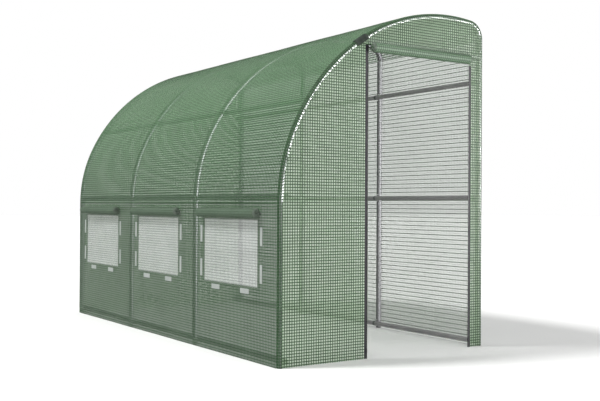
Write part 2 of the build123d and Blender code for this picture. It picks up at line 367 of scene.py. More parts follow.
@dataclass(frozen=True)
class ZincFinish(Finish):
    """Galvanised steel with its spangle, a few scuffs and dull patches."""

    name: str
    light: Colour
    dark: Colour
    roughness: float = 0.36
    metal: float = 0.85

    def build(self) -> bpy.types.Material:
        """Makes the material: spangle under scuffs and dull patches.

        Returns:
            The new material.
        """
        graph = Graph.of_material(self.name)
        spangle = graph.node(
            "ShaderNodeTexVoronoi",
            {"feature": "F1"},
            {"Vector": graph.place(), "Scale": 130.0, "Randomness": 1.0},
            output="Color",
        )
        grain = graph.node("ShaderNodeSeparateColor", inputs={"Color": spangle})
        patches = graph.ramp(graph.noise(9.0, 5.0), 0.32, 0.72)
        scuffs = graph.ramp(graph.noise(60.0, 4.0, graph.stretched((0.12, 1.0, 1.0))), 0.62, 0.72)
        tone = grain * 0.25 + patches * 0.35 + scuffs * 0.2
        return graph.surface(
            {
                "Base Color": graph.blend(tone, self.dark, self.light),
                "Metallic": self.metal,
                "Roughness": self.roughness + patches * 0.12 - scuffs * 0.08,
                "Normal": graph.bump(graph.noise(240.0, 3.0), 0.12, 0.0006),
            }
        )


@dataclass(frozen=True)
class MouldedFinish(Finish):
    """Moulded plastic or rubber with a fine grain."""

    name: str
    light: Colour
    dark: Colour
    roughness: float = 0.5
    shine: float = 0.2
    grain: float = 420.0

    def build(self) -> bpy.types.Material:
        """Makes the material: an even grain under a little dust.

        Returns:
            The new material.
        """
        graph = Graph.of_material(self.name)
        dust = graph.ramp(graph.noise(35.0, 5.0), 0.4, 0.75)
        return graph.surface(
            {
                "Base Color": graph.blend(dust, self.dark, self.light),
                "Roughness": self.roughness + dust * 0.18,
                "Specular IOR Level": self.shine,
                "Normal": graph.bump(graph.noise(self.grain, 3.0), 0.3, 0.0004),
            }
        )


@dataclass(frozen=True)
class WovenFinish(Finish):
    """Woven tape: ribs across each other, with a little soil."""

    name: str
    light: Colour
    dark: Colour
    ribs: float = 260.0
    relief: float = 0.0005

    def build(self) -> bpy.types.Material:
        """Makes the material: ribs both ways with some soil.

        Returns:
            The new material.
        """
        graph = Graph.of_material(self.name)
        weave = [
            graph.node(
                "ShaderNodeTexWave",
                {"wave_type": "BANDS", "bands_direction": direction},
                {"Scale": self.ribs, "Distortion": 0.6, "Vector": graph.place()},
                output="Fac",
            )
            for direction in ("Z", "DIAGONAL")
        ]
        cloth = weave[0] * 0.5 + weave[1] * 0.5
        soil = graph.ramp(graph.noise(18.0, 5.0), 0.4, 0.8)
        return graph.surface(
            {
                "Base Color": graph.blend(cloth * 0.45 + soil * 0.4, self.light, self.dark),
                "Roughness": 0.72 + cloth * 0.14,
                "Specular IOR Level": 0.1,
                "Normal": graph.bump(cloth, 0.6, self.relief),
            }
        )


FRONT_FILM = FilmFinish("front_mesh_film", (0.188, 0.238, 0.186), (0.152, 0.196, 0.15), 0.50)
GREEN_FILM = FilmFinish(
    "green_mesh_film", (0.205, 0.40, 0.205), (0.17, 0.355, 0.17), 0.38, low=(0.205, 0.285, 0.205)
)
FOLD_FILM = FilmFinish(
    "folded_mesh_film", (0.16, 0.20, 0.16), (0.10, 0.13, 0.10), 0.97, glow=0.02
)
WRAP_FILM = FilmFinish(
    "wrapped_mesh_film",
    (0.17, 0.35, 0.16),
    (0.14, 0.30, 0.13),
    0.28,
    glow=0.05,
    roughness=0.14,
    crinkle=0.1,
)
TAIL_FILM = FilmFinish(
    "flap_tail_film", (0.19, 0.33, 0.19), (0.15, 0.27, 0.15), 0.12, glow=0.05
)
# Painted light: the same green mesh film as the cover, made far paler for the end panels to stand
# in for the light that falls on them.
LIT_END_FILM = FilmFinish(
    "light_painted_end_film", (0.62, 0.86, 0.57), (0.56, 0.80, 0.52), 0.40, roughness=0.8, shine=0.0
)
BACK_FILM = FilmFinish(
    "back_mesh_film",
    (0.70, 0.80, 0.69),
    (0.65, 0.75, 0.64),
    0.36,
    glow=0.05,
    roughness=0.8,
    shine=0.0,
)
ROLL_FILM = FilmFinish(
    "rolled_mesh_film",
    (0.150, 0.205, 0.150),
    (0.115, 0.165, 0.115),
    0.95,
    glow=0.02,
    roughness=0.5,
    crinkle=0.4,
    shine=0.03,
)
DOOR_ROLL_FILM = FilmFinish(
    "door_roll_film",
    (0.24, 0.36, 0.24),
    (0.19, 0.30, 0.19),
    0.96,
    glow=0.02,
    roughness=0.55,
    crinkle=0.4,
    shine=0.03,
)
GREEN_THREAD = ThreadFinish("green_thread", (0.052, 0.098, 0.052), (0.036, 0.072, 0.037))
ROLL_THREAD = ThreadFinish("rolled_thread", (0.085, 0.125, 0.085), (0.060, 0.095, 0.060))
END_THREAD = ThreadFinish("end_thread", (0.046, 0.092, 0.043), (0.032, 0.068, 0.030))
BACK_THREAD = ThreadFinish("grey_thread", (0.044, 0.052, 0.046), (0.030, 0.038, 0.032), shine=0.0)
NET_THREAD = ThreadFinish("net_thread", (0.90, 0.92, 0.90), (0.80, 0.83, 0.81))
NET_RIB = ThreadFinish("net_rib", (0.30, 0.33, 0.31), (0.24, 0.27, 0.25))
SEAM_THREAD = ThreadFinish("seam_thread", (0.30, 0.38, 0.29), (0.22, 0.30, 0.22))
TUBE_ZINC = ZincFinish("galvanised_tube", (0.24, 0.24, 0.245), (0.15, 0.15, 0.155), 0.32)
SATIN_ZINC = ZincFinish("satin_tube", (0.14, 0.14, 0.145), (0.09, 0.09, 0.095), 0.46, metal=0.75)
RAIL_ZINC = ZincFinish("rail_tube", (0.38, 0.365, 0.38), (0.27, 0.26, 0.27), 0.50, metal=0.3)
# Painted highlight: a much paler copy of the tube steel for the two purlins, standing in for the
# light line along their tops.
HIGHLIGHT_PAINTED_ZINC = ZincFinish("highlight_painted_tube", (0.62, 0.62, 0.62), (0.50, 0.50, 0.50), 0.40, metal=0.5)
# Painted shade: a darker, duller copy of the tube steel for the inner hoops' back legs and the door
# header, which keeps lamp glints off them.
SHADE_PAINTED_ZINC = ZincFinish("shade_painted_tube", (0.22, 0.22, 0.225), (0.13, 0.13, 0.135), 0.58, metal=0.6)
SLEEVE_ZINC = ZincFinish(
    "pressed_zinc", (0.20, 0.205, 0.205), (0.12, 0.125, 0.125), 0.55, metal=0.6
)
SCREW_ZINC = ZincFinish("bright_zinc", (0.62, 0.62, 0.60), (0.45, 0.45, 0.44), 0.28, metal=1.0)
RUBBER = MouldedFinish("black_rubber", (0.060, 0.060, 0.058), (0.022, 0.022, 0.022), 0.62)
CLAMP_PLASTIC = MouldedFinish(
    "grey_clamp", (0.078, 0.092, 0.080), (0.048, 0.058, 0.050), 0.8, shine=0.0
)
ZIP_PLASTIC = MouldedFinish(
    "zip_plastic", (0.032, 0.031, 0.035), (0.012, 0.012, 0.014), 0.45, shine=0.05
)
ZIP_CLOTH = WovenFinish("zip_cloth", (0.022, 0.021, 0.025), (0.009, 0.009, 0.011))
PALE_TAPE = WovenFinish("pale_hook_tape", (0.46, 0.49, 0.47), (0.32, 0.35, 0.33), ribs=340.0)


# ---- mesh making
class Shell:
    """Gathers grids of points into one mesh."""

    def __init__(self) -> None:
        """Starts with nothing in it."""
        self.points: list[np.ndarray] = []
        self.faces: list[tuple[int, ...]] = []
        self.count = 0

    def _hold(self, points: np.ndarray) -> int:
        """Adds points.

        Args:
            points: an array of any shape whose last axis is x, y, z.

        Returns:
            The number of the first of them.
        """
        first = self.count
        self.points.append(points.reshape(-1, 3))
        self.count += len(self.points[-1])
        return first

    def grid(
        self, points: np.ndarray, wrap: bool = False, mask: Optional[np.ndarray] = None
    ) -> None:
        """Adds a sheet of quads.

        Args:
            points: an array of rows of columns of points.
            wrap: whether the last column joins the first.
            mask: which quads are kept, an array one shorter each way, or all of them.
        """
        rows, columns = points.shape[:2]
        first = self._hold(points)
        number = np.arange(rows * columns).reshape(rows, columns) + first
        if wrap:
            number = np.concatenate([number, number[:, :1]], axis=1)
        quads = np.stack(
            [number[:-1, :-1], number[:-1, 1:], number[1:, 1:], number[1:, :-1]], axis=-1
        )
        quads = quads.reshape(-1, 4) if mask is None else quads[mask]
        self.faces.extend(map(tuple, quads.tolist()))

    def ring_cap(self, ring: np.ndarray) -> None:
        """Adds one face over a ring of points."""
        first = self._hold(ring)
        self.faces.append(tuple(range(first, first + len(ring))))

    def piece(
        self,
        name: str,
        finish: Finish,
        slot: Slot,
        replaces: Optional[str] = None,
        sharp_angle: float = 180.0,
    ) -> bpy.types.Object:
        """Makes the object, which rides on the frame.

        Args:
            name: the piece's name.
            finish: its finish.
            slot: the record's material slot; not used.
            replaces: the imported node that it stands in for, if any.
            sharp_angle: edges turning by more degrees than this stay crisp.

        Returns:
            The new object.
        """
        mesh = bpy.data.meshes.new(name)
        mesh.from_pydata(np.concatenate(self.points).tolist(), [], self.faces)
        mesh.polygons.foreach_set("use_smooth", [True] * len(mesh.polygons))
        if sharp_angle < 180.0:
            mesh.set_sharp_from_angle(angle=radians(sharp_angle))
        mesh.materials.append(finish.material())
        mesh.update()
        made = bpy.data.objects.new(name, mesh)
        bpy.context.scene.collection.objects.link(made)
        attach(made, "root")
        if replaces:
            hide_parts(replaces)
        LOG.info("%s: %d faces", name, len(mesh.polygons))
        return made


ALONG_X = Vector((1, 0, 0))
ALONG_Z = Vector((0, 0, 1))


def side_frames(path: np.ndarray, up: Vector) -> tuple[np.ndarray, np.ndarray]:
    """Directions across a path.

    Args:
        path: the path's points.
        up: a direction that is never along the path.

    Returns:
        For each point, a direction across the path nearest to up, and the one across both.
    """
    along = np.gradient(path, axis=0)
    along /= np.linalg.norm(along, axis=1)[:, None]
    first = np.array(up)[None, :] - along * (along @ np.array(up))[:, None]
    first /= np.linalg.norm(first, axis=1)[:, None]
    return first, np.cross(along, first)


def add_tube(
    shell: Shell,
    path: np.ndarray,
    radii: Union[float, Sequence[float]],
    sides: int,
    up: Vector = ALONG_X,
) -> None:
    """Adds a round tube along a path.

    Args:
        shell: what it is added to.
        path: its centreline.
        radii: its radius at each point, or one for all.
        sides: how many sides it has round.
        up: a direction that is never along the path.
    """
    first, second = side_frames(path, up)
    turns = np.linspace(0, tau, sides, endpoint=False)
    radius = np.broadcast_to(np.asarray(radii, float), (len(path),))
    ring = first[:, None, :] * np.cos(turns)[None, :, None]
    ring = ring + second[:, None, :] * np.sin(turns)[None, :, None]
    shell.grid(path[:, None, :] + ring * radius[:, None, None], wrap=True)


def add_pipe(
    shell: Shell,
    path: np.ndarray,
    radius: float,
    wall: float,
    sides: int,
    up: Vector = ALONG_X,
) -> None:
    """Adds a hollow tube with rounded lips at both ends.

    Args:
        shell: what it is added to.
        path: its centreline.
        radius: its outer radius.
        wall: its wall's thickness.
        sides: how many sides it has round.
        up: a direction that is never along the path.
    """
    trimmed = path.copy()
    radii = [radius, radius - wall * 0.3, radius - wall * 0.7] + [radius - wall] * 3
    for end, step in ((0, path[1] - path[0]), (-1, path[-2] - path[-1])):
        into = step / np.linalg.norm(step)
        tip = path[end] + into * wall * 0.4
        deep = [path[end] + into * share * radius * 2 for share in (0.5, 1.0)]
        rings = np.array([tip, path[end], path[end], tip, *deep])
        add_tube_rings(shell, rings, radii, into, sides, up)
        trimmed[end] = tip
    add_tube(shell, trimmed, radius, sides, up)


def add_tube_rings(
    shell: Shell,
    centres: np.ndarray,
    radii: Sequence[float],
    axis: np.ndarray,
    sides: int,
    up: Vector = ALONG_X,
) -> None:
    """Adds a turned shape: rings across one axis.

    Args:
        shell: what it is added to.
        centres: the middle of each ring.
        radii: the radius of each ring.
        axis: the direction that the rings lie across.
        sides: how many points each ring has.
        up: a direction that is never along the axis.
    """
    axis = np.array(axis, float) / np.linalg.norm(axis)
    first = np.array(up) - axis * float(np.array(up) @ axis)
    first /= np.linalg.norm(first)
    second = np.cross(axis, first)
    turns = np.linspace(0, tau, sides, endpoint=False)
    ring = first[None, :] * np.cos(turns)[:, None] + second[None, :] * np.sin(turns)[:, None]
    points = np.asarray(centres)[:, None, :] + ring[None] * np.asarray(radii)[:, None, None]
    shell.grid(points, wrap=True)


def add_ribbon(
    shell: Shell, path: np.ndarray, outward: np.ndarray, width: float, rise: float
) -> None:
    """Adds a flat thread that lies on a surface, with a low ridge along its middle.

    Args:
        shell: what it is added to.
        path: its middle line, on the surface.
        outward: the surface's outward direction at each point.
        width: its width.
        rise: how far its ridge stands out; 0 is a flat thread.
    """
    along = np.gradient(path, axis=0)
    across = np.cross(along, outward)
    across *= (width / 2 / np.linalg.norm(across, axis=1))[:, None]
    if rise > 0:
        shell.grid(np.stack([path - across, path + outward * rise, path + across], axis=1))
    else:
        shell.grid(np.stack([path - across, path + across], axis=1))


def lengths_along(path: np.ndarray) -> np.ndarray:
    """Distance along a path to each of its points."""
    return np.concatenate([[0.0], np.cumsum(np.linalg.norm(np.diff(path, axis=0), axis=1))])


@dataclass(frozen=True)
class Stitch:
    """One kind of stitch: its length, the gap to the next and the thread's width."""

    length: float
    gap: float
    width: float

    def sew(self, shell: Shell, path: np.ndarray, outward: np.ndarray) -> None:
        """Adds a row of raised stitches along a line.

        Args:
            shell: what it is added to.
            path: points along the seam, close together.
            outward: the surface's outward direction at each point.
        """
        run = lengths_along(path)
        starts = np.arange(self.gap / 2, run[-1] - self.length, self.length + self.gap)
        shares = np.array([0.0, 0.25, 0.75, 1.0])
        lifts = np.array([0.0, 1.0, 1.0, 0.0])
        places = starts[:, None] + shares[None, :] * self.length
        points = np.stack([np.interp(places, run, path[:, axis]) for axis in range(3)], axis=-1)
        out = np.stack([np.interp(places, run, outward[:, axis]) for axis in range(3)], axis=-1)
        along = points[:, -1:, :] - points[:, :1, :]
        across = np.cross(along, out)
        across *= (self.width / 2 / np.linalg.norm(across, axis=2))[..., None]
        middle = points + out * lifts[None, :, None] * self.width * 0.6
        for low, ridge, high in zip(points - across, middle, points + across):
            shell.grid(np.stack([low, ridge, high], axis=1))


def add_screw(shell: Shell, seat: np.ndarray, axis: np.ndarray, size: float) -> None:
    """Adds a hexagon screw head with its washer flange.

    Args:
        shell: what it is added to.
        seat: the point that it sits on.
        axis: the direction that its head points in.
        size: the flange's radius.
    """
    axis = np.array(axis, float) / np.linalg.norm(axis)
    seat = np.array(seat, float)
    up = ALONG_X if abs(axis[0]) < 0.8 else ALONG_Z
    flange = [seat + axis * size * high for high in (0.0, 0.14, 0.2, 0.2)]
    add_tube_rings(shell, flange, [size, size, size * 0.9, size * 0.2], axis, 18, up)
    head = [seat + axis * size * high for high in (0.2, 0.72, 0.82, 0.82)]
    add_tube_rings(shell, head, [size * 0.66, size * 0.66, size * 0.56, 0.0], axis, 6, up)


# ---- the cover's outline
def evenly(low: float, high: float, step: float) -> np.ndarray:
    """Places from low to high, no further apart than a step."""
    return np.linspace(low, high, max(1, ceil((high - low) / step)) + 1)


# Lengths that differ by less than this are the same.
NEAR = 1e-9


@dataclass(frozen=True)
class Outline:
    """Outline of the cover across the tunnel, followed up the front, over, and down the back."""

    front_y: float
    back_y: float
    hem_z: float
    front_height: float = 0.9
    bend_r: float = 1.02
    bend_turn: float = radians(26.2)
    roof_r: float = 1.307
    corner_r: float = 0.114
    corner_finer: float = 2.5
    hoop_inset: float = 0.0211
    samples: int = 1200
    back_samples: int = 1600

    @cached_property
    def bend_centre(self) -> tuple[float, float]:
        """Centre of the lower bend."""
        return self.front_y + self.bend_r, self.front_height

    @cached_property
    def roof_centre(self) -> tuple[float, float]:
        """Works out the roof arc from the lower bend that it carries on.

        Returns:
            The arc's centre, (y, z).
        """
        step = self.roof_r - self.bend_r
        middle_y, middle_z = self.bend_centre
        return middle_y + step * cos(self.bend_turn), middle_z - step * sin(self.bend_turn)

    @cached_property
    def corner_centre(self) -> tuple[float, float]:
        """Works out the back corner's bend, which touches the roof arc and the back.

        Returns:
            The bend's centre, (y, z).
        """
        middle_y, middle_z = self.roof_centre
        corner_y = self.back_y - self.corner_r
        reach = self.roof_r - self.corner_r
        return corner_y, middle_z + sqrt(reach**2 - (corner_y - middle_y) ** 2)

    @cached_property
    def corner_turn(self) -> float:
        """How far the back corner bends."""
        return atan2(
            self.corner_centre[1] - self.roof_centre[1],
            self.corner_centre[0] - self.roof_centre[0],
        )

    @cached_property
    def stops(self) -> tuple[float, ...]:
        """Adds up the outline's five parts: front, lower bend, roof, corner and back.

        Returns:
            The distance along the outline at each part's ends.
        """
        front = self.front_height - self.hem_z
        bend = front + self.bend_r * self.bend_turn
        roof = bend + self.roof_r * (pi - self.bend_turn - self.corner_turn)
        corner = roof + self.corner_r * self.corner_turn
        return 0.0, front, bend, roof, corner, corner + self.corner_centre[1] - self.hem_z

    def at(self, run: np.ndarray, inset: float = 0.0) -> tuple[np.ndarray, np.ndarray]:
        """Points and outward directions across the tunnel.

        Args:
            run: distances along the outline.
            inset: how far inside the cover's face the points lie.

        Returns:
            (y, z) of each point and (y, z) of its outward direction.
        """
        run = np.asarray(run, float)
        _, front, bend, roof, corner, _ = self.stops
        out = np.zeros(run.shape + (2,))
        spot = np.zeros(run.shape + (2,))
        part = run <= front
        out[part] = (-1.0, 0.0)
        spot[part, 0] = self.front_y
        spot[part, 1] = self.hem_z + run[part]
        for low, high, centre, radius, start in (
            (front, bend, self.bend_centre, self.bend_r, pi),
            (bend, roof, self.roof_centre, self.roof_r, pi - self.bend_turn),
            (roof, corner, self.corner_centre, self.corner_r, self.corner_turn),
        ):
            part = (run > low) & (run <= high)
            turn = start - (run[part] - low) / radius
            out[part] = np.stack([np.cos(turn), np.sin(turn)], axis=-1)
            spot[part] = np.array(centre) + out[part] * radius
        part = run > corner
        out[part] = (1.0, 0.0)
        spot[part, 0] = self.back_y
        spot[part, 1] = self.corner_centre[1] - (run[part] - corner)
        return spot - out * inset, out

    def runs(self, start: float, end: float, step: float, arc_step: float) -> np.ndarray:
        """Distances from start to end that meet every change of curve.

        Args:
            start: first distance.
            end: last distance.
            step: longest step on the straight parts.
            arc_step: longest step on the bends.

        Returns:
            The distances.
        """
        marks = [start] + [stop for stop in self.stops if start < stop < end] + [end]
        _, front, _, roof, corner, _ = self.stops
        found = [start]
        for low, high in zip(marks, marks[1:]):
            if high <= front + NEAR or low >= corner - NEAR:
                longest = step
            else:
                longest = arc_step / self.corner_finer if low >= roof - NEAR else arc_step
            found.extend(evenly(low, high, longest)[1:])
        return np.array(found)

    @cached_property
    def crown_run(self) -> float:
        """Distance along the outline to its highest point."""
        return self.stops[2] + self.roof_r * (pi / 2 - self.bend_turn)

    def height_at(self, y: np.ndarray, inset: float) -> np.ndarray:
        """Finds the outline's upper side.

        Args:
            y: places across the tunnel.
            inset: how far inside the cover's face it is taken.

        Returns:
            The height above each place.
        """
        run = np.linspace(self.stops[1], self.stops[4], self.samples)
        spot, _ = self.at(run, inset)
        return np.interp(y, spot[:, 0], spot[:, 1])

    def front_at(self, z: np.ndarray, inset: float) -> np.ndarray:
        """Finds the outline's front side.

        Args:
            z: heights.
            inset: how far inside the cover's face it is taken.

        Returns:
            Y of the front at each height.
        """
        spot, _ = self.at(np.linspace(0.0, self.crown_run, self.samples), inset)
        return np.interp(z, spot[:, 1], spot[:, 0])

    def back_at(self, z: np.ndarray, inset: float) -> np.ndarray:
        """Finds the outline's back side.

        Args:
            z: heights.
            inset: how far inside the cover's face it is taken.

        Returns:
            Y of the back at each height.
        """
        spot, _ = self.at(np.linspace(self.stops[5], self.crown_run, self.back_samples), inset)
        return np.interp(z, spot[:, 1], spot[:, 0])


@dataclass(frozen=True)
class Bays:
    """Where the hoops stand along the tunnel, and how the film lies between them."""

    first_x: float
    last_x: float
    count: int = 3
    slack: float = 0.0022
    ripple: float = 0.0006

    @property
    def hoops(self) -> list[float]:
        """X of every hoop."""
        return list(np.linspace(self.first_x, self.last_x, self.count + 1))

    def dip(self, x: np.ndarray, run: np.ndarray) -> np.ndarray:
        """How far the film stands out between the hoops, which is mostly inwards.

        Args:
            x: places along the tunnel.
            run: distances along the outline.

        Returns:
            Offsets along the outward direction.
        """
        share = (np.asarray(x) - self.first_x) / (self.last_x - self.first_x) * self.count
        belly = np.sin(pi * share) ** 2
        folds = np.sin(run * 21.0 + share * 2.3) * np.sin(run * 8.3 - share * 5.1)
        pulls = np.sin(share * 19.0 + run * 5.7)
        sag = self.slack * (0.8 + 0.2 * np.sin(run * 2.1))
        return -belly * (sag + self.ripple * (folds + pulls * 0.4))


def outline_from_frame() -> Outline:
    """Places the cover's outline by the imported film.

    Returns:
        The outline.
    """
    front_low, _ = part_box("front_film")
    _, back_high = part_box("back_film")
    return Outline(front_low.y, back_high.y, front_low.z)


def bays_from_frame() -> Bays:
    """The bays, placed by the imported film."""
    low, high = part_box("front_film")
    return Bays(low.x, high.x)


OUTLINE = outline_from_frame()
BAYS = bays_from_frame()


def on_cover(x: np.ndarray, run: np.ndarray, lift: float = 0.0) -> tuple[np.ndarray, np.ndarray]:
    """Points on the outside of the cover, with its slack.

    Args:
        x: places along the tunnel.
        run: distances along the outline.
        lift: how far outside the film the points lie.

    Returns:
        The points and their outward directions.
    """
    x, run = np.broadcast_arrays(np.asarray(x, float), np.asarray(run, float))
    spot, out = OUTLINE.at(run)
    reach = BAYS.dip(x, run) + lift
    y, z = spot[..., 0] + out[..., 0] * reach, spot[..., 1] + out[..., 1] * reach
    points = np.stack([x, y, z], -1)
    outward = np.stack([np.zeros_like(x), out[..., 0], out[..., 1]], -1)
    return points, outward


def on_hoop(x: float, run: np.ndarray) -> tuple[np.ndarray, np.ndarray]:
    """Points on a hoop's centreline.

    Args:
        x: where the hoop stands.
        run: distances along the outline.

    Returns:
        The points and their outward directions.
    """
    spot, out = OUTLINE.at(run, OUTLINE.hoop_inset)
    return np.column_stack([np.full(len(run), x), spot]), np.insert(out, 0, 0.0, axis=1)


def run_at_front(z: float, samples: int = 4000) -> float:
    """Finds a height on the front of the hoops' centreline.

    Args:
        z: the height.
        samples: how many places are looked at.

    Returns:
        The distance along the outline.
    """
    run = np.linspace(0.0, OUTLINE.crown_run, samples)
    spot, _ = OUTLINE.at(run, OUTLINE.hoop_inset)
    return float(np.interp(z, spot[:, 1], run))


def run_at_back(z: float) -> float:
    """Distance along the outline to a height on the back."""
    return OUTLINE.stops[5] - (z - OUTLINE.hem_z)


# ---- steel frame
@dataclass
class HoopFrame:
    """The bent tubes of the hoops, their sleeves and their foot plugs."""

    radius: float = 0.0175
    wall: float = 0.0008
    sides: int = 28
    straight_step: float = 0.1
    bend_step: float = 0.012
    sleeve_gap: float = 0.0001
    sleeve_t: float = 0.0012
    sleeve_length: float = 0.072
    sleeve_rings: int = 15
    lip_share: float = 0.35
    groove_share: float = 0.55
    groove_rings: tuple[int, int] = (5, 9)
    screw_rings: tuple[int, int] = (2, -3)
    screw: float = 0.0042
    side_joint_z: float = 1.132
    joint_gap: float = 0.001
    plug_lip: float = 0.0008
    plug_round: float = 0.001

    def build(self) -> None:
        """Builds every hoop."""
        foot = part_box("hoop_1_front_leg")[0].z
        side = run_at_front(self.side_joint_z)
        crown = run_at_back(OUTLINE.corner_centre[1] - self.sleeve_length / 2)
        back_side = run_at_back(self.side_joint_z)
        start = foot - OUTLINE.hem_z
        end = OUTLINE.stops[5] - start
        for number, x in enumerate(BAYS.hoops, start=1):
            at_door = x == BAYS.hoops[-1]
            for part, finish, stretches in (
                ("front_leg", SATIN_ZINC, [(start, side)]),
                ("roof_arch", SATIN_ZINC, [(side, crown)]),
                # The inner hoops' back legs take the steel darkened and dulled as painted shade.
                ("back_leg", SHADE_PAINTED_ZINC, [(crown, back_side), (back_side + self.joint_gap, end)]),
            ):
                shell = Shell()
                for low, high in stretches:
                    run = OUTLINE.runs(low, high, self.straight_step, self.bend_step)
                    add_pipe(shell, on_hoop(x, run)[0], self.radius, self.wall, self.sides)
                node = f"hoop_{number}_{part}"
                # The door-end hoop keeps the plain steel throughout, without the painted shade.
                finish = TUBE_ZINC if at_door else finish
                shell.piece(f"{node}_tube", finish, Slot.TUBE, node, sharp_angle=40.0)
        self.build_sleeves([side, crown, back_side])
        self.build_feet([start, end])

    def build_sleeves(self, joints: Sequence[float]) -> None:
        """Builds the sleeves, each with rolled lips and two screws.

        Args:
            joints: distances along the outline to the middle of each sleeve.
        """
        sleeves, screws = Shell(), Shell()
        inner = self.radius + self.sleeve_gap
        outer = inner + self.sleeve_t
        half = self.sleeve_length / 2
        bead = np.full(self.sleeve_rings, outer)
        bead[[0, -1]] = inner
        bead[[1, -2]] = outer - self.sleeve_t * self.lip_share
        bead[list(self.groove_rings)] = outer - self.sleeve_t * self.groove_share
        for x in BAYS.hoops:
            for joint in joints:
                path, out = on_hoop(x, np.linspace(joint - half, joint + half, len(bead)))
                add_tube(sleeves, path, bead, self.sides)
                for ring in self.screw_rings:
                    add_screw(screws, path[ring] - out[ring] * outer, -out[ring], self.screw)
        sleeves.piece(
            "hoop_sleeve_collars", SLEEVE_ZINC, Slot.TUBE, "hoop_sleeves", sharp_angle=50.0
        )
        screws.piece("hoop_sleeve_screws", SCREW_ZINC, Slot.FITTING, sharp_angle=40.0)

    def build_feet(self, ends: Sequence[float]) -> None:
        """Builds the rubber plug under every leg.

        Args:
            ends: distances along the outline to the legs' lower ends.
        """
        shell = Shell()
        wide = self.radius
        radii = [0.0, wide - self.plug_lip, wide, wide, wide - self.plug_round, 0.0]
        for x in BAYS.hoops:
            for end in ends:
                place = on_hoop(x, np.array([end]))[0][0]
                top = place[2]
                heights = [0.0, 0.0, self.plug_lip, top - self.plug_round, top, top]
                centres = [np.array([x, place[1], height]) for height in heights]
                add_tube_rings(shell, centres, radii, np.array([0, 0, 1]), self.sides)
        shell.piece("foot_plug_rubbers", RUBBER, Slot.RUBBER, "foot_plugs", sharp_angle=40.0)


